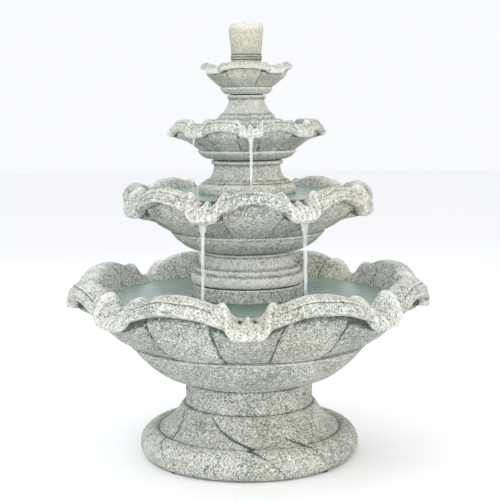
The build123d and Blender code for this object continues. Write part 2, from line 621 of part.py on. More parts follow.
def cord_gland():
    """Cord entry on top of the motor. The cord itself isn't modelled."""
    seat = GLAND_RADIUS - FIXED_CLEARANCE
    gland = turned(
        (GLAND_BORE, 0), (seat, 0), (seat, GLAND_SUNK), (GLAND_RADIUS + 2, GLAND_SUNK),
        (GLAND_BORE + 2, GLAND_LENGTH), (GLAND_BORE, GLAND_LENGTH),
    )
    return Pos(0, GLAND_OFFSET, PUMP_Z[1] - GLAND_SUNK) * gland


def cord_stopper():
    """Rubber bung in the basin's cord hole, bored for the cord."""
    top = BASIN_FLOOR + CORD_STOPPER_LIP
    shank = CORD_HOLE_RADIUS - FIXED_CLEARANCE
    bung = turned(
        (CORD_STOPPER_BORE, BASIN_BASE - SPIGOT_DEPTH), (shank, BASIN_BASE - SPIGOT_DEPTH),
        (shank, BASIN_FLOOR), (CORD_HOLE_RADIUS + CORD_STOPPER_LIP, BASIN_FLOOR),
        (CORD_HOLE_RADIUS, top), (CORD_STOPPER_BORE, top),
    )
    return Pos(0, CORD_HOLE_OFFSET, 0) * bung


def drain_plug():
    """Tapered rubber plug with a head that seals on the floor and a pull tab."""
    floor = BASIN_FLOOR
    head_top = floor + DRAIN_GAP + DRAIN_HEAD_HEIGHT
    half = DRAIN_PULL_THICKNESS / 2
    tab = block((-DRAIN_PULL_WIDTH / 2, DRAIN_PULL_WIDTH / 2), (-half, half),
                (floor + DRAIN_HEAD_HEIGHT / 2, head_top + DRAIN_PULL_HEIGHT))
    tab = fillet(tab.edges().filter_by(Axis.Y).group_by(Axis.Z)[-1], 6)
    head = rod(DRAIN_HEAD_RADIUS, floor + DRAIN_GAP, head_top)
    neck = rod(DRAIN_RADIUS / 2, floor - DRAIN_GAP, floor + 2 * DRAIN_GAP)
    plug = drain_taper(BASIN_BASE, DRAIN_RADIUS - DRAIN_GAP)
    return plug + Pos(-DRAIN_OFFSET, 0, 0) * (head + neck + tab)



# The whole stack


def seals():
    """One rubber ring under each stone that another stone carries."""
    shank_bore = SHANK_RADIUS - PEDESTAL_WALL
    housing_bore = HOUSING_RADIUS - HOUSING_WALL
    return {
        "basin_seal": seal(SHANK_RADIUS, shank_bore, PEDESTAL_HEIGHT),
        "housing_seal": seal(HOUSING_RADIUS, housing_bore, BASIN_FLOOR),
        "lower_column_seal": seal(HOUSING_RADIUS, housing_bore, HOUSING_BASE + HOUSING_HEIGHT),
        "large_bowl_seal": seal(LARGE_BOWL["base"], COLUMN_BORE, LARGE_BOWL_BASE - SEAL_THICKNESS),
        "middle_column_seal": seal(MIDDLE_COLUMN["plinth"], COLUMN_BORE, LARGE_BOWL_FLOOR),
        "medium_bowl_seal": seal(MIDDLE_COLUMN["neck"], COLUMN_BORE,
                                 MEDIUM_BOWL_BASE - SEAL_THICKNESS),
        "upper_column_seal": seal(UPPER_COLUMN["plinth"], COLUMN_BORE, MEDIUM_BOWL_FLOOR),
        "small_bowl_seal": seal(UPPER_COLUMN["neck"], COLUMN_BORE,
                                SMALL_BOWL_BASE - SEAL_THICKNESS),
        "finial_seal": seal(FINIAL_FOOT_RADIUS, COLUMN_BORE, SMALL_BOWL_FLOOR),
    }


def pipe_run():
    """Fittings, washers, nuts and pipes from the pump's outlet to the jet."""
    tiers = {
        "large": (LARGE_BOWL_BASE, LARGE_BOWL["floor"]),
        "medium": (MEDIUM_BOWL_BASE, MEDIUM_BOWL["floor"]),
        "small": (SMALL_BOWL_BASE, SMALL_BOWL["floor"]),
    }
    nodes = {"jet": jet()}
    carrier_top = OUTLET_TOP
    for name, (base, thickness) in tiers.items():
        bottom, top = fitting_ends(base, thickness)
        nodes[f"{name}_fitting"] = fitting(base, thickness)
        nodes[f"{name}_washer"] = washer(base, thickness)
        nodes[f"{name}_nut"] = nut(base)
        nodes[f"{name}_riser"] = riser(carrier_top, bottom)
        carrier_top = top
    nodes["finial_riser"] = riser(carrier_top, JET_BOTTOM)
    return nodes


def pump():
    """The submersible pump, piece by piece."""
    axis = PUMP_AXIS_HEIGHT
    return {
        "pump_motor": pump_motor(),
        "pump_chamber": pump_chamber(),
        "pump_intake": pump_intake(),
        "flow_dial": flow_dial(),
        "impeller": impeller(),
        "impeller_shaft": rod_along_y(SHAFT_RADIUS, FRONT_BUSH, WELL_BACK + BUSH_LENGTH, axis),
        "front_bush": shaft_bush(FRONT_BUSH),
        "back_bush": shaft_bush(WELL_BACK),
        "suction_cups": suction_cups(),
        "cord_gland": cord_gland(),
    }


def stones():
    """The ten castings."""
    return {
        "pedestal": pedestal(),
        "basin": basin(),
        "pump_housing": pump_housing(),
        "lower_column": lower_column(),
        "large_bowl": tier_bowl(LARGE_BOWL, LARGE_BOWL_BASE),
        "middle_column": standing_column(MIDDLE_COLUMN, MIDDLE_COLUMN_BASE),
        "medium_bowl": tier_bowl(MEDIUM_BOWL, MEDIUM_BOWL_BASE),
        "upper_column": standing_column(UPPER_COLUMN, UPPER_COLUMN_BASE),
        "small_bowl": tier_bowl(SMALL_BOWL, SMALL_BOWL_BASE),
        "finial": finial(),
    }


def write_parts():
    """Writes one STEP file for each node."""
    rubber = {"foot_pads": foot_pads(), "cord_stopper": cord_stopper(), "drain_plug": drain_plug()}
    nodes = {**stones(), **seals(), **rubber, **pipe_run(), **pump()}
    os.makedirs("parts", exist_ok=True)
    for name, shape in nodes.items():
        solids = shape if isinstance(shape, list) else [shape]
        export_step(Compound(children=solids), f"parts/{name}.step")


write_parts()
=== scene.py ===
import json
import math
from collections import namedtuple

import bmesh
import bpy
from bpy.props import FloatProperty, PointerProperty, StringProperty
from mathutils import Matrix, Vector, noise


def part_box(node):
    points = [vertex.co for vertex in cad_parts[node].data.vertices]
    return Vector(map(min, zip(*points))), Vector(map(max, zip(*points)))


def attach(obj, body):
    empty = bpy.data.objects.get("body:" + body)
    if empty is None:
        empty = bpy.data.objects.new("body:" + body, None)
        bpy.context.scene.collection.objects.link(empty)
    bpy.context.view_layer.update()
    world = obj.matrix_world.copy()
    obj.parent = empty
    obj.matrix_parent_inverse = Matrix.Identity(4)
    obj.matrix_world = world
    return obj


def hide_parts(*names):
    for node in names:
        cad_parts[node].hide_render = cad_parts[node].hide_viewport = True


bl_info = {
    "name": "Tiered Water Fountain",
    "version": (1, 0, 0),
    "blender": (4, 5, 0),
    "location": "View3D > Sidebar > Fountain",
    "description": "Models a cast-stone garden fountain and its water around the CAD frame",
    "category": "Object",
}

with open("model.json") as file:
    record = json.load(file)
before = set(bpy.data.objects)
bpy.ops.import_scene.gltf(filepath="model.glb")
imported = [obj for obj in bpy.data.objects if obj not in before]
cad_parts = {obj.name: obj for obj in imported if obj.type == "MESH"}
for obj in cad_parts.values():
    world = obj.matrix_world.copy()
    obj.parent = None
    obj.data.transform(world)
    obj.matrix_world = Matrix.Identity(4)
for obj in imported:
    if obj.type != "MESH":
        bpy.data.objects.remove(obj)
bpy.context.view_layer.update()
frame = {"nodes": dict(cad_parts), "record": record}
MM = 0.001


# Sizes and colours that a user would change


class StoneSettings(bpy.types.PropertyGroup):
    """Look and relief of the cast stone."""

    face: StringProperty(name="Face", description="sRGB colour of the dry stone face", default="#C2C3BA")
    light: StringProperty(name="Light", description="sRGB colour of rubbed edges", default="#EBEBE5")
    warm: StringProperty(name="Warm", description="sRGB colour of the buff patches", default="#CBC0A9")
    # patina is also the colour of the painted shade in the hollows, creases and folds
    patina: StringProperty(name="Patina", description="sRGB colour of the grey-green wash", default="#87948A")
    pit: StringProperty(name="Pit", description="sRGB colour at the bottom of a pit", default="#4A524A")
    pit_size: FloatProperty(name="Pit Size", description="Spacing of the pits", default=3.9 * MM,
                            unit="LENGTH")
    relief: FloatProperty(name="Relief", description="How far a carved petal stands out",
                          default=7.0 * MM, unit="LENGTH")
    groove: FloatProperty(name="Groove", description="Depth of a carved line", default=4.5 * MM,
                          unit="LENGTH")
    wobble: FloatProperty(name="Wobble", description="Unevenness of the cast faces",
                          default=1.4 * MM, unit="LENGTH")


class WaterSettings(bpy.types.PropertyGroup):
    """Levels and colours of the water."""

    pool: StringProperty(name="Pool", description="sRGB colour of the standing water", default="#7C9489")
    depth: StringProperty(name="Depth", description="sRGB colour of the deep water", default="#5B766B")
    basin_level: FloatProperty(name="Basin Level", description="Water level in the basin, above the "
                               "ground", default=459 * MM, unit="LENGTH")
    large_level: FloatProperty(name="Large Bowl Level", description="Water level in the large bowl",
                               default=755 * MM, unit="LENGTH")
    medium_level: FloatProperty(name="Medium Bowl Level", description="Water level in the medium bowl",
                                default=942 * MM, unit="LENGTH")
    small_level: FloatProperty(name="Small Bowl Level", description="Water level in the small bowl",
                               default=1104 * MM, unit="LENGTH")
    string_width: FloatProperty(name="String Width", description="Width of a falling string of water",
                                default=9 * MM, unit="LENGTH")


class StageSettings(bpy.types.PropertyGroup):
    """Floor, lights and camera."""

    distance: FloatProperty(name="Camera Distance", description="From the fountain's axis to the lens",
                            default=3.261, unit="LENGTH")
    height: FloatProperty(name="Camera Height", description="Above the ground", default=1.005,
                          unit="LENGTH")
    pitch: FloatProperty(name="Camera Pitch", description="How far the camera looks down",
                         default=math.radians(7.28), subtype="ANGLE")
    lens: FloatProperty(name="Lens", description="Focal length in millimetres", default=82.8)
    aside: FloatProperty(name="Camera Aside", description="How far the camera is off the axis",
                         default=0.0095, unit="LENGTH")


# Node helpers


def linear(hex_colour):
    """Linear RGBA of an sRGB hex value."""
    parts = [int(hex_colour[i:i + 2], 16) / 255 for i in (1, 3, 5)]
    return [c / 12.92 if c <= 0.04045 else ((c + 0.055) / 1.055) ** 2.4 for c in parts] + [1.0]


def add(tree, kind, settings=None, **inputs):
    """Adds a node. An input is a number, a colour or another node's output."""
    node = tree.nodes.new(kind)
    for name, value in (settings or {}).items():
        setattr(node, name, value)
    for name, value in inputs.items():
        key = int(name[1:]) if name[0] == "i" and name[1:].isdigit() else name.replace("_", " ")
        socket = node.inputs[key]
        if isinstance(value, bpy.types.NodeSocket):
            tree.links.new(value, socket)
        else:
            socket.default_value = value
    return node


def fresh_material(name):
    """An empty node material, its tree, and the place of a point on the object, in metres."""
    material = bpy.data.materials.new(name)
    material.use_nodes = True
    tree = material.node_tree
    tree.nodes.clear()
    return material, tree, add(tree, "ShaderNodeTexCoord").outputs["Object"]


def clouds(tree, place, scale, detail, **more):
    """A noise texture's value."""
    return add(tree, "ShaderNodeTexNoise", Vector=place, Scale=scale, Detail=detail,
               **more).outputs["Fac"]


def relief(tree, strength, distance, height):
    """The normal of a bumpy surface."""
    return add(tree, "ShaderNodeBump", Strength=strength, Distance=distance,
               Height=height).outputs["Normal"]


def surface(tree, **inputs):
    """Adds the surface shader and the material's output."""
    shader = add(tree, "ShaderNodeBsdfPrincipled", **inputs)
    add(tree, "ShaderNodeOutputMaterial", Surface=shader.outputs[0])


def ramp(tree, fac, stops):
    """A colour ramp of (position, value) greys or (position, colour) stops."""
    node = add(tree, "ShaderNodeValToRGB", i0=fac)
    elements = node.color_ramp.elements
    while len(elements) < len(stops):
        elements.new(0.5)
    for element, (position, value) in zip(elements, stops):
        element.position = position
        element.color = value if isinstance(value, list) else (value, value, value, 1.0)
    return node.outputs["Color"]


def blend_colour(tree, fac, under, over):
    """Mixes two colours."""
    return add(tree, "ShaderNodeMix", {"data_type": "RGBA"}, i0=fac, i6=under, i7=over).outputs[2]


def number(tree, operation, first, second):
    """A math node's output."""
    return add(tree, "ShaderNodeMath", {"operation": operation}, i0=first, i1=second).outputs[0]


# Materials


def cast_stone():
    """Cast stone: crushed aggregate in cement, tamped into a mould, acid-washed and rubbed with a grey-green
    wash that stays in the pits and the carved lines. To the eye it is matt, speckled with dark pits of a few
    millimetres and pale grains, greener in the hollows and paler on edges. The green in the hollows is partly
    that wash and partly painted shade, and the near-black in the deepest carved lines is painted shade."""
    s = bpy.context.scene.fountain_stone
    material, tree, place = fresh_material("cast_stone_grey_green_wash")
    carve = add(tree, "ShaderNodeAttribute", {"attribute_name": "carve"}).outputs["Fac"]
    broad = clouds(tree, place, 5.5, 4.0, Roughness=0.6)
    mid = clouds(tree, place, 26.0, 5.0, Roughness=0.65)
    grit = clouds(tree, place, 0.9 / s.pit_size, 2.0, Roughness=0.6)
    pits = add(tree, "ShaderNodeTexVoronoi", {"feature": "F1"}, Vector=place,
               Scale=0.5 / s.pit_size, Randomness=1.0).outputs["Distance"]
    grains = add(tree, "ShaderNodeTexVoronoi", {"feature": "F1"}, Vector=place,
                 Scale=1 / s.pit_size, Randomness=1.0).outputs["Color"]
    warm_at = clouds(tree, place, 3.1, 2.0)

    # a pit is where a cell's centre and coarse grit meet, and they crowd where the wash is thick
    crowd = number(tree, "MULTIPLY", number(tree, "SUBTRACT", mid, 0.5), 0.5)
    pit_core = ramp(tree, number(tree, "ADD", number(tree, "ADD", pits, crowd),
                                 number(tree, "MULTIPLY", grit, 0.5)), [(0.42, 1.0), (0.50, 0.0)])
    mixed = number(tree, "ADD", number(tree, "ADD", number(tree, "MULTIPLY", grains, 0.55), crowd),
                   number(tree, "MULTIPLY", grit, 0.9))
    speck = ramp(tree, mixed, [(0.54, 1.0), (0.64, 0.0)])
    holes = number(tree, "MAXIMUM", pit_core, number(tree, "MULTIPLY", speck, 0.78))
    pale = ramp(tree, mixed, [(0.80, 0.0), (0.92, 1.0)])

    face = blend_colour(tree, ramp(tree, warm_at, [(0.48, 0.0), (0.66, 0.8)]),
                        linear(s.face), linear(s.warm))
    washed = ramp(tree, number(tree, "ADD", broad, number(tree, "MULTIPLY", mid, 0.55)),
                  [(0.66, 0.0), (0.98, 0.75)])
    face = blend_colour(tree, washed, face, linear(s.patina))
    # the wash lies in the hollows, and painted shade is laid there too in the same grey-green
    hollow = ramp(tree, carve, [(0.02, 1.0), (0.46, 0.0)])
    face = blend_colour(tree, number(tree, "MULTIPLY", hollow, 0.85), face, linear(s.patina))
    edge = ramp(tree, carve, [(0.54, 0.0), (0.85, 1.0)])
    face = blend_colour(tree, number(tree, "MULTIPLY", edge, 0.75), face, linear(s.light))
    # the small upper pieces are cast in a finer mix, so their grains stand out less
    above = add(tree, "ShaderNodeSeparateXYZ", Vector=place).outputs["Z"]
    plain = number(tree, "SUBTRACT", 1.0, ramp(tree, number(tree, "MULTIPLY", above, 0.5),
                                               [(0.36, 0.0), (0.58, 0.6)]))
    holes = number(tree, "MULTIPLY", holes, plain)
    pale = number(tree, "MULTIPLY", pale, plain)
    face = blend_colour(tree, number(tree, "MULTIPLY", pale, 0.66), face, linear(s.light))
    # rubbing and rain clean the grains of the proud parts
    holes = number(tree, "MULTIPLY", holes, number(tree, "SUBTRACT", 1.0,
                                                   number(tree, "MULTIPLY", edge, 0.5)))
    face = blend_colour(tree, number(tree, "MULTIPLY", holes, 0.85), face, linear(s.pit))
    # painted shade: near-black in the deepest carved lines and creases
    line = ramp(tree, carve, [(0.0, 1.0), (0.16, 0.0)])
    face = blend_colour(tree, number(tree, "MULTIPLY", line, 0.9), face, linear("#30362F"))

    height = number(tree, "SUBTRACT", number(tree, "MULTIPLY", mid, 0.35), holes)
    bump = relief(tree, 0.6, 1.8 * MM, height)
    surface(tree, Base_Color=face, Roughness=0.86, Specular_IOR_Level=0.3, Normal=bump)
    return material


def pool_water():
    """Still water in a stone bowl, stirred by the strings that fall in it: clear, but as a layer
    over grey-green stone it reads milky grey-green, deeper in tone by the column than by the wall."""
    s = bpy.context.scene.fountain_water
    material, tree, place = fresh_material("pool_water")
    ripple = clouds(tree, place, 30.0, 3.0, Distortion=0.6)
    patch = clouds(tree, place, 7.0, 2.0)
    shallow = add(tree, "ShaderNodeAttribute", {"attribute_name": "share"}).outputs["Fac"]
    milky = ramp(tree, number(tree, "ADD", shallow, number(tree, "MULTIPLY", patch, 0.6)),
                 [(0.45, 0.0), (1.25, 1.0)])
    colour = blend_colour(tree, milky, linear(s.depth), linear(s.pool))
    bump = relief(tree, 0.35, 4 * MM, ripple)
    surface(tree, Base_Color=colour, Roughness=0.22, IOR=1.333, Normal=bump)
    return material


def falling_water():
    """A string of falling water: clear and full of fine air, so it shows as a soft white thread."""
    material, tree, place = fresh_material("falling_water")
    stretched = add(tree, "ShaderNodeMapping", Vector=place, Scale=(90, 90, 14)).outputs["Vector"]
    streak = clouds(tree, stretched, 1.0, 3.0)
    veil = ramp(tree, streak, [(0.35, 0.12), (0.65, 0.6)])
    surface(tree, Base_Color=linear("#F1F6F8"), Roughness=0.15, IOR=1.333, Alpha=veil)
    return material


def moulded(name, colour, roughness, grain_mm, depth_mm):
    """A moulded part: even colour with a faint cloud, a fine moulded grain and a soft sheen."""
    material, tree, place = fresh_material(name)
    grain = clouds(tree, place, 1 / (grain_mm * MM), 3.0)
    cloud = clouds(tree, place, 24.0, 3.0)
    tone = blend_colour(tree, ramp(tree, cloud, [(0.35, 0.0), (0.75, 0.45)]), linear(colour),
                        linear("#8C9086"))
    rough = add(tree, "ShaderNodeMapRange", Value=cloud)
    rough.inputs["To Min"].default_value = roughness - 0.08
    rough.inputs["To Max"].default_value = roughness + 0.1
    bump = relief(tree, 0.3, depth_mm * MM, grain)
    surface(tree, Base_Color=tone, Roughness=rough.outputs[0], Normal=bump)
    return material


def turned_metal(name, colour, roughness, dull):
    """A turned metal part: fine rings from the tool, dulled in patches by water."""
    material, tree, place = fresh_material(name)
    rings = add(tree, "ShaderNodeTexWave", {"wave_type": "BANDS", "bands_direction": "Z"},
                Vector=place, Scale=450.0, Distortion=1.5, Detail=2.0).outputs["Fac"]
    stain = clouds(tree, place, 60.0, 4.0)
    tone = blend_colour(tree, ramp(tree, stain, [(0.45, 0.0), (0.7, 0.8)]), linear(colour),
                        linear(dull))
    rough = add(tree, "ShaderNodeMapRange", Value=stain)
    rough.inputs["To Min"].default_value = roughness
    rough.inputs["To Max"].default_value = roughness + 0.25
    bump = relief(tree, 0.15, 0.2 * MM, rings)
    surface(tree, Base_Color=tone, Metallic=1.0, Roughness=rough.outputs[0], Normal=bump)
    return material


MADE = {}


def made_once(maker, *args):
    """A material that several pieces share."""
    key = "fountain_" + "_".join([maker.__name__] + [str(a) for a in args[:1]])
    if key not in MADE:
        MADE[key] = maker(*args)
    return MADE[key]


# Outlines. A station is (lobe radius, lobe height, spout radius, spout height) in millimetres
# above a bowl's base, or (radius, height) where the piece is round.
#   turn     degrees from the front to the first spout
#   floor    thickness of the floor, and spigot the radius of the boss that seats in a column
#   steps    segments round the bowl, and fine the spacing along its outline
#   petal    half width of a petal at its foot and at its top, as a share of the way to the spout
#   tone     how pale the wall is rubbed, and ogee how far the middle of a lobe comes to a point


PLAIN, UNDER, WALL, RIM, INSIDE, FLOOR = range(6)
SPIGOT_DEPTH = 12
BASIN_SPIGOT_RADIUS = 155
SEAL_RADIUS = 20.3
BORE_RADIUS = 13
BOWLS = {
    "basin": {
        "body": "base", "spouts": 8, "turn": 0.0, "floor": 27, "spigot": None, "steps": 480, "fine": 5.0,
        "petal": (0.56, 0.47), "tone": -0.15, "ogee": 0,
        UNDER: [(183, 0), (205, 4), (233, 10), (257, 22), (279, 38), (307, 64), (326, 86),
                (334, 96), (341, 102), (342, 106)],
        WALL: [(332, 106), (351, 118), (376, 133, 380, 133), (410, 163, 423, 164),
               (434, 194, 453, 186), (459, 226, 477, 195), (473, 255, 486, 200)],
        RIM: [(476, 261, 488, 203), (488, 257, 496, 200), (501, 256, 506, 202), (511, 263, 512, 209),
              (512, 276, 509, 219), (503, 292, 497, 230), (486, 303, 479, 239),
              (467, 307, 461, 244), (449, 303, 445, 247)],
        INSIDE: [(449, 303, 445, 247), (430, 286, 428, 246), (410, 262, 411, 241),
                 (392, 238, 393, 229), (364, 190), (332, 132), (288, 76), (248, 40), (212, 27)],
    },
    "large_bowl": {
        "body": "large_tier", "spouts": 8, "turn": 25.5, "floor": 28, "spigot": 28, "steps": 400, "fine": 4.0,
        "petal": (0.60, 0.66), "tone": 0.12, "ogee": 10,
        UNDER: [(118, 0), (136, 1), (157, 5), (175, 13), (192, 25), (206, 37), (214, 48),
                (219, 52), (219, 55)],
        WALL: [(211, 55), (225, 62), (241, 71, 242, 71), (262, 86, 268, 86),
               (286, 105, 296, 96), (306, 126, 318, 100), (319, 146, 330, 103)],
        RIM: [(322, 150, 332, 105), (333, 148, 341, 103), (345, 149, 350, 106), (353, 157, 356, 114),
              (350, 170, 352, 126), (339, 184, 340, 139), (323, 192, 326, 149),
              (306, 191, 313, 156), (295, 184, 303, 158)],
        INSIDE: [(295, 184, 303, 158), (281, 169, 287, 157), (267, 150, 269, 147),
                 (242, 112), (210, 74), (178, 43), (150, 28)],
    },
    "medium_bowl": {
        "body": "medium_tier", "spouts": 8, "turn": 3.0, "floor": 22, "spigot": 28, "steps": 320, "fine": 3.2,
        "petal": (0.56, 0.58), "tone": 0.07, "ogee": 3,
        UNDER: [(102, 0), (115, 3), (127, 9), (136, 18), (140, 24), (140, 27)],
        WALL: [(136, 27), (146, 35, 148, 36), (160, 46, 166, 48), (176, 56, 184, 56),
               (188, 67, 200, 60), (194, 78, 206, 62)],
        RIM: [(196, 80, 208, 64), (202, 79, 213, 63), (209, 81, 219, 68), (211, 88, 221, 75),
              (208, 97, 217, 82), (202, 106, 210, 88), (194, 111, 202, 93), (187, 111, 194, 96),
              (182, 107, 188, 97)],
        INSIDE: [(182, 107, 188, 97), (175, 98, 179, 94), (164, 82, 166, 80), (147, 57),
                 (125, 33), (100, 22)],
    },
    "small_bowl": {
        "body": "small_tier", "spouts": 4, "turn": 42.0, "floor": 18, "spigot": 28, "steps": 240, "fine": 2.6,
        "petal": (0.50, 0.56), "tone": 0.07, "ogee": 0,
        UNDER: [(58, 0), (64, 3), (71, 11), (74, 17), (74, 20)],
        WALL: [(70, 20), (80, 27, 82, 29), (91, 37, 97, 41), (104, 48, 112, 49),
               (114, 66, 119, 53)],
        RIM: [(116, 69, 121, 54), (122, 69, 126, 55), (128, 72, 130, 60), (129, 77, 131, 66),
              (126, 82, 127, 71), (119, 87, 121, 75), (111, 89, 114, 77), (105, 86, 108, 77),
              (101, 81, 104, 76)],
        INSIDE: [(101, 81, 104, 76), (96, 73, 98, 71), (91, 64, 92, 63), (80, 42), (66, 25),
                 (56, 18)],
    },
}


def catmull(stations, spacing):
    """(point, share along the run) on a smooth curve through wide stations."""
    wide = [Vector(s if len(s) == 4 else (s[0], s[1], s[0], s[1])) for s in stations]
    last = len(wide) - 1
    points = []
    for i in range(last):
        a, b = wide[i], wide[i + 1]
        before = wide[i - 1] if i else a
        after = wide[i + 2] if i + 2 <= last else b
        count = max(1, round(math.hypot(b[0] - a[0], b[1] - a[1]) / spacing))
        for k in range(count):
            t = k / count
            point = 0.5 * (2 * a + (b - before) * t
                           + (2 * before - 5 * a + 4 * b - after) * t * t
                           + (3 * a - before - 3 * b + after) * t ** 3)
            points.append((point, (i + t) / last))
    return points


def straight(corners, spacing):
    """Points along straight runs between corners, with both ends of each run."""
    points = []
    for a, b in zip(corners, corners[1:]):
        count = max(1, round(math.hypot(b[0] - a[0], b[1] - a[1]) / spacing))
        points += [(Vector((a[0], a[1], a[0], a[1])).lerp(Vector((b[0], b[1], b[0], b[1])), k / count),
                    k / count) for k in range(count)]
    return points


def smoothstep(low, high, value):
    """0 below low, 1 above high, smooth between."""
    t = min(1.0, max(0.0, (value - low) / (high - low)))
    return t * t * (3 - 2 * t)


def hump(distance, width):
    """1 at distance 0, falling smoothly to 0 at width."""
    return 1 - smoothstep(0.0, width, abs(distance))


# Stone


def spin(bm, profile, steps):
    """Sweeps a profile's vertices and edges once round the fountain's axis."""
    bmesh.ops.spin(bm, geom=profile, cent=(0, 0, 0), axis=(0, 0, 1), angle=math.tau, steps=steps,
                   use_merge=True)


LAYERS = ("dr", "dz", "share", "zone")


def spun(outline, steps):
    """A closed solid of revolution: outline is a list of (wide point, share, zone)."""
    bm = bmesh.new()
    layers = {name: bm.verts.layers.float.new(name) for name in (*LAYERS, "carve")}
    verts = []
    for point, share, zone in outline:
        vert = bm.verts.new((0, -point[0] * MM, point[1] * MM))
        vert[layers["dr"]] = (point[2] - point[0]) * MM
        vert[layers["dz"]] = (point[3] - point[1]) * MM
        vert[layers["share"]] = share
        vert[layers["zone"]] = zone
        verts.append(vert)
    edges = [bm.edges.new((v, verts[(i + 1) % len(verts)])) for i, v in enumerate(verts)]
    spin(bm, verts + edges, steps)
    bmesh.ops.recalc_face_normals(bm, faces=bm.faces)
    return bm, layers


def roughen(bm, carve, amount, seed):
    """Unevenness from the mould and the wash: broad dents, small chips and worn edges."""
    bm.normal_update()
    shift = Vector((seed * 7.3, seed * 3.1, seed * 1.7))
    moves = []
    for vert in bm.verts:
        p = vert.co
        broad = noise.noise(p * 14 + shift)
        fine = noise.noise(p * 62 + shift)
        chip = noise.noise(p * 130 - shift)
        moves.append(vert.normal * amount * (broad * 0.8 + fine * 0.45 + min(0.0, chip + 0.25) * 1.1))
    for vert, move in zip(bm.verts, moves):
        vert.co += move
    # the bend of the surface sets the carve: hollows go lower, where the wash and painted shade go, and proud
    # edges higher, where they are rubbed paler
    bend = []
    for vert in bm.verts:
        total = Vector()
        for edge in vert.link_edges:
            total += (edge.other_vert(vert).co - vert.co).normalized()
        bend.append(total.dot(vert.normal) / max(1, len(vert.link_edges)))
    for vert, value in zip(bm.verts, bend):
        vert[carve] = min(0.98, max(0.02, 0.5 - value * 1.15 + vert[carve]))


def finished(name, bm, material):
    """Turns a bmesh into a smooth-shaded object with its material."""
    mesh = bpy.data.meshes.new(name)
    bm.to_mesh(mesh)
    bm.free()
    for polygon in mesh.polygons:
        polygon.use_smooth = True
    mesh.materials.append(material)
    piece = bpy.data.objects.new(name, mesh)
    bpy.context.scene.collection.objects.link(piece)
    return piece


def stone_piece(node, body, bm):
    """Turns a bmesh into the stone piece that stands for a CAD node."""
    piece = finished(node + "_stone", bm, made_once(cast_stone))
    for layer in LAYERS:
        if layer in piece.data.attributes:
            piece.data.attributes.remove(piece.data.attributes[layer])
    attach(piece, body)
    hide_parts(node)


def bowl_outline(bowl):
    """The closed outline of a bowl, zone by zone, with its stepped hole if it carries the pipe."""
    outline = [(p, s, UNDER) for p, s in catmull(bowl[UNDER], bowl["fine"] * 1.6)]
    outline += [(p, s, WALL) for p, s in catmull(bowl[WALL], bowl["fine"])]
    outline += [(p, s, RIM) for p, s in catmull(bowl[RIM], bowl["fine"] * 0.8)]
    outline += [(p, s, INSIDE) for p, s in catmull(bowl[INSIDE], bowl["fine"] * 1.3)]
    edge = bowl[INSIDE][-1][0]
    floor = bowl["floor"]
    if bowl["spigot"]:
        spigot = bowl["spigot"]
        boss = floor + SPIGOT_DEPTH
        corners = [(edge, floor), (spigot, floor), (spigot, boss), (SEAL_RADIUS, boss),
                   (SEAL_RADIUS, floor), (BORE_RADIUS, floor), (BORE_RADIUS, 0), (SEAL_RADIUS, 0),
                   (SEAL_RADIUS, -SPIGOT_DEPTH), (spigot, -SPIGOT_DEPTH), (spigot, 0),
                   (bowl[UNDER][0][0], 0)]
    else:
        corners = [(edge, floor), (0.6, floor), (0.6, -SPIGOT_DEPTH),
                   (BASIN_SPIGOT_RADIUS, -SPIGOT_DEPTH), (BASIN_SPIGOT_RADIUS, 0),
                   (bowl[UNDER][0][0], 0)]
    return outline + [(p, s, FLOOR) for p, s in straight(corners, bowl["fine"] * 3)]


def petal_edge(foot, top, height, side):
    """Where a petal's carved outline runs, from its middle (0) to the spout beside it (1)."""
    return foot + (top - foot) * height ** 1.6 + 0.035 * side * math.sin(math.pi * height)


def spout_share(zone, share, lobe_phase, beside, size):
    """How far a point has moved from the lobe's outline to the spout's: a broad arch over each
    lobe, and a narrow trough with steep sides at each spout."""
    if zone in (UNDER, FLOOR):
        return 0.0
    trough = {WALL: 0.42 * share, RIM: 0.44 - 0.12 * share,
              INSIDE: 0.32 * (1 - smoothstep(0.1, 0.5, share))}[zone]
    narrow = {WALL: 0.0, RIM: smoothstep(0.3, 0.9, share), INSIDE: 1.0}[zone]
    half = (0.42 + 0.58 * size) * MM
    steep = 1 - smoothstep((34 - 12 * narrow) * half, (68 - 6 * narrow) * half, abs(beside))
    arch = lobe_phase ** 1.1
    return arch * (1 - trough) + steep * trough


Spot = namedtuple("Spot", "zone share off beside petal arc phase cycle size half_spout")
CARVING_RIM = 484.0


def carving_size(bowl):
    """How large a bowl's carving is: 1 on a rim of CARVING_RIM millimetres."""
    return bowl[RIM][0][0] / CARVING_RIM


# Each carver looks at one spot of a bowl and returns (how far in, how far up, how much paler). A negative
# paler makes a spot darker, mostly as painted shade in a hollow.


def carve_under(bowl, spot, s):
    """The underside, with a pale edge to its ledge."""
    return 0.0, 0.0, bowl["tone"] + 0.12 * smoothstep(0.94, 0.99, spot.share)


def carve_point(bowl, spot, s):
    """The slight point at the middle of a lobe."""
    point = bowl["ogee"] * MM * max(0.0, 1 - spot.petal / 0.42) ** 1.4
    if spot.zone == WALL:
        return 0.0, point * spot.share ** 5, 0.0
    return 0.0, point * (1 - smoothstep(0.2, 0.5, spot.share)), 0.0


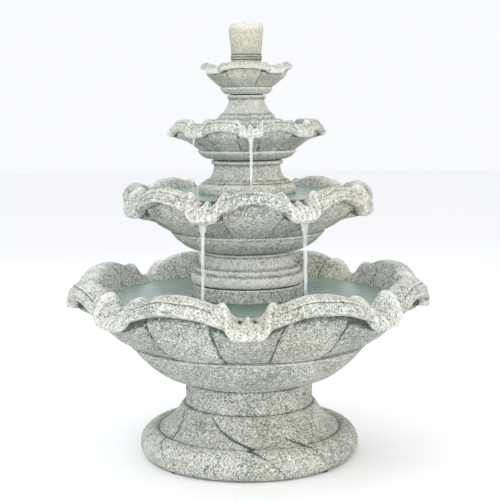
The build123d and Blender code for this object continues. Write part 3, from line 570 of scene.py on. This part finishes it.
def carve_wall(bowl, spot, s):
    """Petals that stand proud between carved lines, with a hollow under the rim and a ledge. Painted shade
    darkens the lines and the ground beside them, the hollow under the rim, the corner at the ledge and the
    ground between the petals.
    """
    size, share, petal = spot.size, spot.share, spot.petal
    edge = petal_edge(*bowl["petal"], share, 1 if spot.off > 0 else -1)
    crown = max(0.0, 1 - (petal / edge) ** 2)
    line = hump((petal - edge) * spot.arc, 6.5 * MM * size ** 0.5)
    soft = hump((petal - edge - 0.03) * spot.arc, 20 * MM * size ** 0.5)
    leaf = 0.55 * hump((petal - 0.80 + 0.10 * share) * spot.arc, 6 * MM * size ** 0.5)
    under_rim = smoothstep(0.72, 1.0, share)
    ledge = 1 - smoothstep(0.0, 0.035, share)
    inward = -s.relief * size ** 0.5 * smoothstep(-0.03, 0.09, edge - petal) * (0.5 + 0.5 * crown)
    inward += s.groove * size ** 0.5 * (0.8 * line + 0.35 * soft + 0.5 * leaf)
    inward += 4 * MM * size * under_rim + 7 * MM * size ** 0.7 * (1 - smoothstep(0.0, 0.07, share))
    # painted shade in the lines, under the rim, at the ledge and on the ground between the petals
    carve = bowl["tone"] - 0.30 * line - 0.13 * soft - 0.14 * leaf - 0.34 * under_rim
    carve -= 0.42 * ledge + 0.10 * smoothstep(edge, edge + 0.1, petal)
    return inward, 0.0, carve


def carve_rim(bowl, spot, s):
    """The rim's two grooves, its pale hem and top, and the proud ribbed lip of each spout. Painted shade
    darkens the grooves, the undercut beneath the band, the border round each lip and the hollows between its
    ribs.
    """
    size, share, beside, half_spout = spot.size, spot.share, spot.beside, spot.half_spout
    girth = 128 * MM * size
    clear = 1 - smoothstep(0.45, 0.85, spot.phase)
    step = clear * max(hump((share - 0.615) * girth, 5.5 * MM * size ** 0.6),
                       0.45 * hump((share - 0.47) * girth, 5 * MM * size ** 0.6))
    hem = hump((share - 0.17) * girth, 14 * MM * size ** 0.6)
    proud = smoothstep(0.08, 0.2, share) * (1 - smoothstep(0.72, 0.86, share))
    lip = 1 - smoothstep(half_spout - 6 * MM * size, half_spout + 6 * MM * size ** 0.5, abs(beside))
    border = hump(abs(beside) - half_spout - 7 * MM * size ** 0.5, 8 * MM * size ** 0.5)
    fan = hump(beside, half_spout) * smoothstep(0.15, 0.5, share) * (1 - smoothstep(0.75, 0.9, share))
    ribs = math.cos(beside / (9.5 * MM * size ** 0.6) * math.pi)
    inward = 4.5 * MM * size ** 0.6 * step
    inward -= 6 * MM * size ** 0.6 * proud * lip
    inward += 1.3 * MM * size ** 0.5 * fan * ribs
    lift = 1.6 * MM * size * math.sin(spot.cycle * 3 + 0.8) * math.sin(math.pi * share)
    # painted shade in the grooves, under the band, round the lip and between its ribs
    carve = 0.20 * hem + 0.14 * smoothstep(0.74, 0.86, share) - 0.30 * step
    carve -= 0.5 * (1 - smoothstep(0.0, 0.07, share))
    carve += 0.10 * proud * (abs(beside) < half_spout) - 0.26 * proud * border
    carve -= 0.07 * fan * ribs
    return inward, lift, carve


def carve_inside(bowl, spot, s):
    """The folds inside a bowl, one in the middle of each lobe and two beside it, darkened with painted shade.
    """
    fold = hump(spot.petal * spot.arc, 8 * MM * spot.size ** 0.5)
    fold = max(fold, 0.8 * hump((spot.petal - 0.5) * spot.arc, 7 * MM * spot.size ** 0.5))
    inward = -7 * MM * spot.size * fold * smoothstep(0.03, 0.2, spot.share)
    return inward, 0.0, -0.34 * fold * smoothstep(0.06, 0.2, spot.share)


def carve_spout(bowl, spot, s):
    """The ears on both sides of a spout, its tongue, and the pocket on each side of that. The pockets are
    darkened with painted shade.
    """
    size, share, beside = spot.size, spot.share, spot.beside
    on_rim = spot.zone == RIM
    near_top = share if on_rim else 1 - share * 3
    ear = hump(abs(beside) - spot.half_spout - 3 * MM * size, 24 * MM * size ** 0.7)
    ear *= smoothstep(0.45, 0.85, near_top)
    tongue = hump(beside, 11 * MM * size ** 0.6) * smoothstep(0.6, 1.0, near_top)
    along = (1 - share) * 60 * MM * size - 4 * MM if on_rim else share * 260 * MM * size - 2 * MM
    pocket = hump(math.hypot(abs(beside) - 19 * MM * size ** 0.7, along), 12 * MM * size ** 0.6)
    lift = 14 * MM * size ** 0.8 * ear + 7 * MM * size * tongue - 14 * MM * size * pocket
    return 0.0, lift, 0.15 * ear - 0.9 * pocket


CARVERS = {
    UNDER: (carve_under,), WALL: (carve_point, carve_wall), FLOOR: (),
    RIM: (carve_point, carve_rim, carve_spout), INSIDE: (carve_inside, carve_spout),
}


def shape_bowl(bm, layers, bowl, base, s):
    """Moves a spun bowl's points out to its lobes and spouts, and carves them."""
    count = bowl["spouts"]
    size = carving_size(bowl)
    half_spout = 57 * MM * (0.28 + 0.72 * size)
    for vert in bm.verts:
        share, zone = vert[layers["share"]], round(vert[layers["zone"]])
        x, y, z = vert.co
        radius = math.hypot(x, y)
        heading = math.atan2(x, -y)
        angle = heading - math.radians(bowl["turn"])
        off = math.remainder(angle, math.tau / count)
        phase = (1 + math.cos(count * angle)) / 2
        spout = spout_share(zone, share, phase, off * radius, size)
        radius += vert[layers["dr"]] * spout
        z += vert[layers["dz"]] * spout + base
        spot = Spot(zone, share, off, off * radius, petal=1 - abs(off) * count / math.pi,
                    arc=math.pi / count * radius, phase=phase, cycle=count * angle, size=size,
                    half_spout=half_spout)
        carve = 0.0
        for carver in CARVERS[zone]:
            inward, lift, paler = carver(bowl, spot, s)
            radius -= inward
            z += lift
            carve += paler
        vert.co = Vector((radius * math.sin(heading), -radius * math.cos(heading), z))
        vert[layers["carve"]] = carve


# Round pieces: an outline is a list of runs, each ("curve" or "line", stations), bottom to top,
# above the height of the base. The folds between mouldings are heights above the ground.


ROUND_STONES = {
    "pedestal": {
        "body": "base", "base": 0, "steps": 320, "fine": 4.0, "tone": -0.02,
        "folds": (76, 151, 215), "fold_width": 4.5, "runs": [
            ("line", [(276, 4), (298, 4)]),
            ("curve", [(298, 4), (308, 12), (314, 26), (315, 40), (311, 56), (302, 69),
                       (292, 77), (283, 81)]),
            ("line", [(283, 81), (276, 82)]),
            ("curve", [(276, 82), (268, 79), (263, 76)]),
            ("curve", [(263, 76), (250, 84), (234, 96), (219, 111), (206, 128), (197, 143),
                       (191, 149)]),
            ("curve", [(191, 149), (186, 150), (183.5, 154)]),
            ("curve", [(183.5, 154), (182.5, 175), (183, 200), (184, 214)]),
            ("curve", [(184, 214), (181, 216), (182, 219), (183, 222)]),
            ("line", [(183, 222), (157, 222), (157, 124), (274, 51), (276, 4)]),
        ]},
    "lower_column": {
        "body": "large_tier", "base": 498, "steps": 256, "fine": 3.4, "tone": 0.26,
        "folds": (498, 531, 547, 580), "fold_width": 4.5, "runs": [
            ("line", [(133, -12), (133, 0), (154, 0)]),
            ("curve", [(154, 0), (159, 3), (162, 11), (162.5, 19), (160, 28), (155, 33)]),
            ("curve", [(155, 33), (150, 33), (149, 37), (150, 43), (148, 47), (143, 49)]),
            ("curve", [(143, 49), (136, 51.5), (130.5, 57), (127.5, 65), (126, 74), (125.5, 80)]),
            ("curve", [(125.5, 80), (123.5, 82.5), (127, 86), (125.5, 90), (118, 91)]),
            ("line", [(118, 91), (30, 91), (30, 57), (84, 57), (84, -12), (133, -12)]),
        ]},
    "middle_column": {
        "body": "medium_tier", "base": 623, "steps": 240, "fine": 3.0, "tone": 0.15,
        "folds": (784, 791, 835), "fold_width": 4.5, "runs": [
            ("line", [(30, 0), (126, 0), (126, 120), (131, 125)]),
            ("curve", [(131, 125), (136, 130), (138.5, 140), (138, 149), (134, 156), (128, 160)]),
            ("curve", [(128, 160), (122, 161), (121, 164), (119, 167)]),
            ("curve", [(119, 167), (110, 170), (103, 177), (98, 186), (95, 197), (93.5, 206),
                       (94, 211)]),
            ("curve", [(94, 211), (99, 212), (101.5, 215), (101, 220), (97, 223)]),
            ("line", [(97, 223), (30, 223), (30, 0)]),
        ]},
    "upper_column": {
        "body": "small_tier", "base": 874, "steps": 200, "fine": 2.4, "tone": 0.15,
        "folds": (961, 974, 1018), "fold_width": 6.0, "runs": [
            ("line", [(30, 0), (78, 0), (78, 58), (82, 61)]),
            ("curve", [(82, 61), (87, 66), (89.5, 74), (89, 81), (86, 87), (83, 88.5)]),
            ("curve", [(83, 88.5), (80.5, 90), (79, 94), (77, 98), (73, 100)]),
            ("curve", [(73, 100), (68.5, 105), (63, 111), (58, 118), (53.5, 126), (51, 134),
                       (50, 140), (51, 143)]),
            ("curve", [(51, 143), (53.5, 144), (54.5, 147), (54.5, 151), (54, 153)]),
            ("line", [(54, 153), (30, 153), (30, 0)]),
        ]},
    "finial": {
        "body": "finial", "base": 1051, "steps": 160, "fine": 2.0, "tone": -0.10,
        "folds": (1125.5, 1132, 1139), "fold_width": 4.5, "runs": [
            ("line", [(30, 0), (43, 0), (42, 70), (42, 74)]),
            ("curve", [(42, 74), (43.8, 75.5), (44, 78), (42.2, 80.5)]),
            ("curve", [(42.2, 80.5), (43.8, 82), (44, 85), (42.2, 87.5)]),
            ("curve", [(42.2, 87.5), (42.4, 92), (43.6, 108), (45.5, 128), (47.6, 146),
                       (48.6, 156), (47.8, 165), (45, 172), (40.5, 175), (35, 174.4)]),
            ("curve", [(35, 174.4), (31.5, 172.5), (31, 168)]),
            ("line", [(31, 168), (31, 157), (13, 157), (13, 143), (30, 143), (30, 0)]),
        ]},
}


def round_outline(runs, fine):
    """The closed outline of a round stone in its local heights."""
    outline = []
    for kind, stations in runs:
        if kind == "curve":
            outline += [(p, s, PLAIN) for p, s in catmull(stations, fine)]
        else:
            outline += [(p, s, PLAIN) for p, s in straight(stations, fine * 2.5)]
    return outline


def crack(bm, carve, path, width, depth):
    """A thin crack or casting seam along a path of (degrees from the front, height in mm)."""
    for vert in bm.verts:
        x, y, z = vert.co
        radius = math.hypot(x, y)
        degrees = math.degrees(math.atan2(x, -y))
        best = 1.0
        for (a0, z0), (a1, z1) in zip(path, path[1:]):
            p = Vector((math.radians(degrees - a0) * radius, z - z0 * MM))
            run = Vector((math.radians(a1 - a0) * radius, (z1 - z0) * MM))
            t = min(1.0, max(0.0, p.dot(run) / max(run.length_squared, 1e-12)))
            best = min(best, (p - run * t).length)
        line = hump(best, width)
        if line:
            vert.co -= vert.normal * depth * line
            vert[carve] -= 0.8 * line


def paint_fold_shade(bm, carve, folds, width):
    """Painted shade in the folds between mouldings, all the way round."""
    for vert in bm.verts:
        near = max(hump(vert.co.z - fold * MM, width * MM) for fold in folds)
        if near and math.hypot(vert.co.x, vert.co.y) < FOLD_REACH:
            vert[carve] -= 0.52 * near


# The pedestal's foot is wider than FOLD_REACH, so no shade is painted in the fold on it.
FOLD_REACH = 0.28
# Between the inner and the outer face of the foot's wall
FOOT_WALL_RADIUS = 0.287
# Each crack is a path of (degrees from the front, height), its half width and its depth.
CRACKS = [
    ([(-31, 143), (-22, 118), (-13, 100), (4, 77), (10, 62), (14, 40), (18, 18)], 6.2, 1.8),
    ([(-66, 135), (-58, 92), (-56, 77), (-50, 55), (-47, 30)], 5.6, 1.6),
    ([(25, 96), (36, 77), (38, 58), (42, 32)], 5.6, 1.6), ([(-20, 48), (-23, 30), (-21, 12)], 5.0, 1.4),
    ([(128, 92), (131, 62), (127, 30)], 5.6, 1.6), ([(-140, 110), (-137, 74), (-143, 28)], 5.6, 1.6),
]


class FOUNTAIN_OT_bowls(bpy.types.Operator):
    """Model the scalloped basin and the three bowls above it"""

    bl_idname = "fountain.bowls"
    bl_label = "Bowls"

    def execute(self, context):
        s = context.scene.fountain_stone
        for name, bowl in BOWLS.items():
            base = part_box(name)[0].z + SPIGOT_DEPTH * MM
            bm, layers = spun(bowl_outline(bowl), bowl["steps"])
            shape_bowl(bm, layers, bowl, base, s)
            roughen(bm, layers["carve"], s.wobble * carving_size(bowl) ** 0.4, len(name))
            stone_piece(name, bowl["body"], bm)
        return {"FINISHED"}


class FOUNTAIN_OT_columns(bpy.types.Operator):
    """Model the pedestal, the three turned columns and the finial"""

    bl_idname = "fountain.columns"
    bl_label = "Pedestal, Columns and Finial"

    def execute(self, context):
        s = context.scene.fountain_stone
        for name, stone in ROUND_STONES.items():
            bm, layers = spun(round_outline(stone["runs"], stone["fine"]), stone["steps"])
            bmesh.ops.translate(bm, verts=bm.verts, vec=(0, 0, stone["base"] * MM))
            bm.normal_update()
            carve = layers["carve"]
            for vert in bm.verts:
                vert[carve] += stone["tone"]
            paint_fold_shade(bm, carve, stone["folds"], stone["fold_width"])
            if name == "pedestal":
                for path, width, depth in CRACKS:
                    crack(bm, carve, path, width * MM, depth * MM)
                self.cut_arch(bm)
            if name == "finial":
                for vert in bm.verts:
                    vert[carve] += 0.25 * smoothstep(1.203, 1.214, vert.co.z)
            roughen(bm, carve, s.wobble * (0.3 if name == "finial" else 0.7), len(name) + 3)
            stone_piece(name, stone["body"], bm)
        return {"FINISHED"}

    def cut_arch(self, bm):
        """Opens the cord arch at the back of the foot by pressing its wall up round the opening."""
        half, crown = 22 * MM, 44 * MM

        def in_arch(face):
            middle = face.calc_center_median()
            return middle.y > 0 and abs(middle.x) < half \
                and middle.z < crown - half + math.sqrt(half ** 2 - middle.x ** 2)

        doomed = [face for face in bm.faces if in_arch(face)]
        bmesh.ops.delete(bm, geom=doomed, context="FACES")
        rims = [e for e in bm.edges if e.is_boundary]
        outer = [e for e in rims if e.verts[0].co.xy.length > FOOT_WALL_RADIUS]
        inner = [e for e in rims if e not in outer]
        bmesh.ops.bridge_loops(bm, edges=outer + inner)
        bmesh.ops.recalc_face_normals(bm, faces=bm.faces)


class FOUNTAIN_OT_housing(bpy.types.Operator):
    """Model the drum over the pump, with its arched inlets"""

    bl_idname = "fountain.housing"
    bl_label = "Pump Housing"

    def execute(self, context):
        s = context.scene.fountain_stone
        copy = frame["nodes"]["pump_housing"].data.copy()
        bm = bmesh.new()
        bm.from_mesh(copy)
        bpy.data.meshes.remove(copy)
        bmesh.ops.remove_doubles(bm, verts=bm.verts, dist=1e-6)
        low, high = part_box("pump_housing")
        rows, slices = 44, 36
        cuts = [((0, 0, low.z + (high.z - low.z) * row / rows), (0, 0, 1)) for row in range(1, rows)]
        turns = [math.pi * (step + 0.5) / slices for step in range(slices)]
        cuts += [((0, 0, 0), (math.cos(turn), math.sin(turn), 0)) for turn in turns]
        for place, facing in cuts:
            bmesh.ops.bisect_plane(bm, geom=bm.verts[:] + bm.edges[:] + bm.faces[:], plane_co=place,
                                   plane_no=facing)
        bmesh.ops.triangulate(bm, faces=bm.faces)
        carve = bm.verts.layers.float.new("carve")
        water_line_height = 460 * MM
        # painted shade: a dark line under the drum's top joint and a darker band at the water line
        for vert in bm.verts:
            vert[carve] = -0.25 * hump(vert.co.z - high.z, 5 * MM)
            vert[carve] -= 0.12 * hump(vert.co.z - water_line_height, 12 * MM)
        roughen(bm, carve, s.wobble * 0.3, 11)
        stone_piece("pump_housing", "housing", bm)
        return {"FINISHED"}


# Water


POOL_SHEET = 3 * MM


def inner_wall(bowl, level, base):
    """(lobe radius, spout radius) in metres where the inside of a bowl meets a water level."""
    radii = []
    for side in (0, 2):
        points = [(p[side], p[side + 1]) for p, _ in catmull(bowl[INSIDE], 3)]
        wet = [r for r, z in points if z * MM + base <= level]
        radii.append(max(wet) * MM)
    return radii


def pool(bowl_name, level, column_radius):
    """A thin closed sheet of water between a column and the bowl's wall, with ripples."""
    bowl = BOWLS[bowl_name]
    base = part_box(bowl_name)[0].z + SPIGOT_DEPTH * MM
    lobe, spout = inner_wall(bowl, level, base)
    bm = bmesh.new()
    share = bm.verts.layers.float.new("share")
    rings = 26
    top = []
    for i in range(rings + 1):
        vert = bm.verts.new((0, -(column_radius + (lobe - column_radius) * i / rings), level))
        vert[share] = i / rings
        top.append(vert)
    low = [bm.verts.new((0, end.co.y, level - POOL_SHEET)) for end in (top[-1], top[0])]
    low[0][share] = 1.0
    loop = top + low
    edges = [bm.edges.new((v, loop[(i + 1) % len(loop)])) for i, v in enumerate(loop)]
    spin(bm, loop + edges, 192)
    for vert in bm.verts:
        x, y, z = vert.co
        angle = math.atan2(x, -y)
        radius = math.hypot(x, y)
        near = ((1 + math.cos(bowl["spouts"] * (angle - math.radians(bowl["turn"])))) / 2) ** 2.2
        radius += (spout - lobe + 2 * MM) * near * vert[share] + 2.5 * MM * vert[share]
        if z > level - 1 * MM:
            z += 0.9 * MM * noise.noise(Vector((x, y, 0)) * 34)
            z += 0.5 * MM * noise.noise(Vector((x, y, 3)) * 80)
        vert.co = Vector((radius * math.sin(angle), -radius * math.cos(angle), z))
    bmesh.ops.recalc_face_normals(bm, faces=bm.faces)
    water_piece(bowl_name + "_water", bowl["body"], bm, pool_water)


def water_piece(name, body, bm, material):
    """Turns a bmesh into a piece of water that rides on a body."""
    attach(finished(name, bm, made_once(material)), body)


def string(name, body, degrees, path, width):
    """A falling string of water: a tapered tube along (radius, height) points, in millimetres."""
    bm = bmesh.new()
    ring_count = 12
    turn = math.radians(degrees)
    out = Vector((math.sin(turn), -math.cos(turn), 0))
    across = Vector((math.cos(turn), math.sin(turn), 0))
    points = [p for p, _ in catmull(path, 6)] + [Vector((*path[-1], *path[-1]))]
    rings = []
    for i, point in enumerate(points):
        share = i / (len(points) - 1)
        centre = out * point[0] * MM + Vector((0, 0, point[1] * MM))
        centre += across * 1.6 * MM * noise.noise(Vector((degrees, i * 0.23, 0)))
        half = width / 2 * (1.0 + 1.5 * (1 - smoothstep(0.0, 0.16, share)) - 0.35 * share) \
            * (1 + 0.22 * noise.noise(Vector((degrees, i * 0.5, 5))))
        made = bmesh.ops.create_circle(bm, segments=ring_count, radius=1.0)["verts"]
        ahead = points[min(i + 1, len(points) - 1)] - points[max(i - 1, 0)]
        along = (out * ahead[0] + Vector((0, 0, ahead[1]))).normalized()
        deep = across.cross(along)
        for vert in made:
            vert.co = centre + across * vert.co.x * half + deep * vert.co.y * half * 0.6
        rings.append(made)
    loops = [[e for e in bm.edges if e.verts[0] in set(r) and e.verts[1] in set(r)] for r in rings]
    for a, b in zip(loops, loops[1:]):
        bmesh.ops.bridge_loops(bm, edges=a + b)
    bmesh.ops.contextual_create(bm, geom=rings[0])
    bmesh.ops.contextual_create(bm, geom=rings[-1])
    bmesh.ops.recalc_face_normals(bm, faces=bm.faces)
    water_piece(name, body, bm, falling_water)


class FOUNTAIN_OT_water(bpy.types.Operator):
    """Fill the bowls and let strings of water fall from the spouts"""

    bl_idname = "fountain.water"
    bl_label = "Water"

    def execute(self, context):
        w = context.scene.fountain_water
        pool("basin", w.basin_level, 156 * MM)
        pool("large_bowl", w.large_level, 124 * MM)
        pool("medium_bowl", w.medium_level, 80 * MM)
        pool("small_bowl", w.small_level, 41 * MM)
        self.cup_water()
        basin, large = w.basin_level / MM - 2, w.large_level / MM - 2
        for index, (degrees, wide) in enumerate([(25.5, 1.0), (-19.5, 1.0), (160.5, 0.6), (205.5, 0.6)]):
            string("large_string_%d" % (index + 1), "large_tier", degrees,
                   [(338, 707), (343, 700), (345, 680), (347, 620), (349, 540), (350, basin)],
                   w.string_width * wide * 1.3)
        for index, (degrees, wide) in enumerate([(3, 1.0), (-42, 0.5), (183, 0.6)]):
            string("medium_string_%d" % (index + 1), "medium_tier", degrees,
                   [(209, 920), (213, 914), (215, 890), (217, 850), (218, 800), (219, large)],
                   w.string_width * wide)
        return {"FINISHED"}

    def cup_water(self):
        """Water welling up over the jet in the finial's cup."""
        bm = bmesh.new()
        outline = [(0.0, 1228.0), (8, 1227.4), (16, 1226.0), (24, 1224.6), (30.5, 1223.6), (30.5, 1217),
                   (0.0, 1217)]
        verts = [bm.verts.new((0, -r * MM, z * MM)) for r, z in outline]
        edges = [bm.edges.new((a, b)) for a, b in zip(verts, verts[1:])]
        spin(bm, verts + edges, 64)
        bmesh.ops.remove_doubles(bm, verts=bm.verts, dist=0.01 * MM)
        bmesh.ops.recalc_face_normals(bm, faces=bm.faces)
        for vert in bm.verts:
            vert.co.z += 0.7 * MM * noise.noise(vert.co * 120)
        water_piece("finial_water", "finial", bm, pool_water)


class FOUNTAIN_OT_fittings(bpy.types.Operator):
    """Give the pump, pipes, fittings, seals and pads their materials"""

    bl_idname = "fountain.fittings"
    bl_label = "Pump, Pipes and Rubber"

    def execute(self, context):
        finishes = {
            "rubber": (moulded, "moulded_black_rubber", "#1B1B1C", 0.72, 0.9, 0.25),
            "pipe": (moulded, "extruded_pvc_pipe", "#2B2C2E", 0.42, 1.5, 0.1),
            "fitting": (moulded, "moulded_black_nylon", "#202224", 0.5, 0.8, 0.15),
            "pump_plastic": (moulded, "moulded_black_abs", "#26282A", 0.46, 0.7, 0.2),
            "impeller_plastic": (moulded, "moulded_grey_acetal", "#C3C5C8", 0.3, 1.2, 0.08),
            "steel": (turned_metal, "ground_stainless_steel", "#C9CACC", 0.22, "#9A9C9C"),
            "brass": (turned_metal, "turned_brass", "#B08D57", 0.34, "#6E6244"),
        }
        for part in frame["record"]["subparts"]:
            slot = part["material_slot"]
            if slot in finishes:
                mesh = frame["nodes"][part["node"]].data
                mesh.materials.clear()
                mesh.materials.append(made_once(*finishes[slot]))
        return {"FINISHED"}


class FOUNTAIN_OT_stage(bpy.types.Operator):
    """Set the pale floor, the soft studio lights and the camera"""

    bl_idname = "fountain.stage"
    bl_label = "Stage"

    def execute(self, context):
        s = context.scene.fountain_stage
        bm = bmesh.new()
        bmesh.ops.create_circle(bm, cap_ends=True, segments=96, radius=14.0)
        finished("studio_floor", bm, self.paper())

        world = bpy.data.worlds.new("studio_white")
        world.use_nodes = True
        background = world.node_tree.nodes["Background"]
        background.inputs["Color"].default_value = linear("#F7F9FC")
        background.inputs["Strength"].default_value = 1.02
        context.scene.world = world
        context.scene.view_settings.view_transform = "Standard"
        self.soft_box("key_light", (-1.9, -2.4, 3.6), 2.2, 46, "#F6FAFF")
        self.soft_box("front_light", (0.3, -4.4, 1.1), 3.0, 50, "#FFFFFF")
        self.soft_box("right_light", (2.8, -1.4, 2.2), 1.8, 22, "#FFF0DC")
        self.soft_box("back_light", (-1.2, 2.6, 2.6), 2.0, 26, "#F2F8FF")

        data = bpy.data.cameras.new("camera")
        data.lens = s.lens
        data.sensor_width = 36.0
        camera = bpy.data.objects.new("camera", data)
        context.scene.collection.objects.link(camera)
        camera.location = (s.aside, -s.distance, s.height)
        camera.rotation_euler = (math.pi / 2 - s.pitch, math.radians(0.45), 0)
        context.scene.camera = camera
        return {"FINISHED"}

    def paper(self):
        """Matt studio paper, faintly mottled."""
        material, tree, place = fresh_material("studio_paper")
        cloud = clouds(tree, place, 2.0, 3.0)
        tone = blend_colour(tree, number(tree, "MULTIPLY", cloud, 0.1), linear("#FAFAFA"),
                            linear("#F3F4F5"))
        surface(tree, Base_Color=tone, Roughness=0.9)
        return material

    def soft_box(self, name, place, size, power, colour):
        """A square soft light aimed at the middle of the fountain."""
        light = bpy.data.lights.new(name, "AREA")
        light.size = size
        light.energy = power
        light.color = linear(colour)[:3]
        lamp = bpy.data.objects.new(name, light)
        bpy.context.scene.collection.objects.link(lamp)
        lamp.location = place
        aim = Vector((0, 0, 0.6)) - Vector(place)
        lamp.rotation_euler = aim.to_track_quat("-Z", "Y").to_euler()


class FOUNTAIN_PT_panel(bpy.types.Panel):
    """Lists the fountain's sizes and its pieces"""

    bl_idname = "FOUNTAIN_PT_panel"
    bl_label = "Tiered Water Fountain"
    bl_space_type = "VIEW_3D"
    bl_region_type = "UI"
    bl_category = "Fountain"

    def draw(self, context):
        layout = self.layout
        for group in ("fountain_stone", "fountain_water", "fountain_stage"):
            box = layout.box()
            settings = getattr(context.scene, group)
            for name in settings.bl_rna.properties.keys():
                if name not in ("rna_type", "name"):
                    box.prop(settings, name)
        for operator in OPERATORS:
            layout.operator(operator.bl_idname)


OPERATORS = (FOUNTAIN_OT_bowls, FOUNTAIN_OT_columns, FOUNTAIN_OT_housing, FOUNTAIN_OT_water,
             FOUNTAIN_OT_fittings, FOUNTAIN_OT_stage)
CLASSES = (StoneSettings, WaterSettings, StageSettings, *OPERATORS, FOUNTAIN_PT_panel)


def register():
    for cls in CLASSES:
        bpy.utils.register_class(cls)
    bpy.types.Scene.fountain_stone = PointerProperty(type=StoneSettings)
    bpy.types.Scene.fountain_water = PointerProperty(type=WaterSettings)
    bpy.types.Scene.fountain_stage = PointerProperty(type=StageSettings)


def unregister():
    del bpy.types.Scene.fountain_stone
    del bpy.types.Scene.fountain_water
    del bpy.types.Scene.fountain_stage
    for cls in reversed(CLASSES):
        bpy.utils.unregister_class(cls)


def main():
    """Builds the whole fountain."""
    register()
    bpy.ops.fountain.bowls()
    bpy.ops.fountain.columns()
    bpy.ops.fountain.housing()
    bpy.ops.fountain.water()
    bpy.ops.fountain.fittings()
    bpy.ops.fountain.stage()


if __name__ == "__main__":
    main()
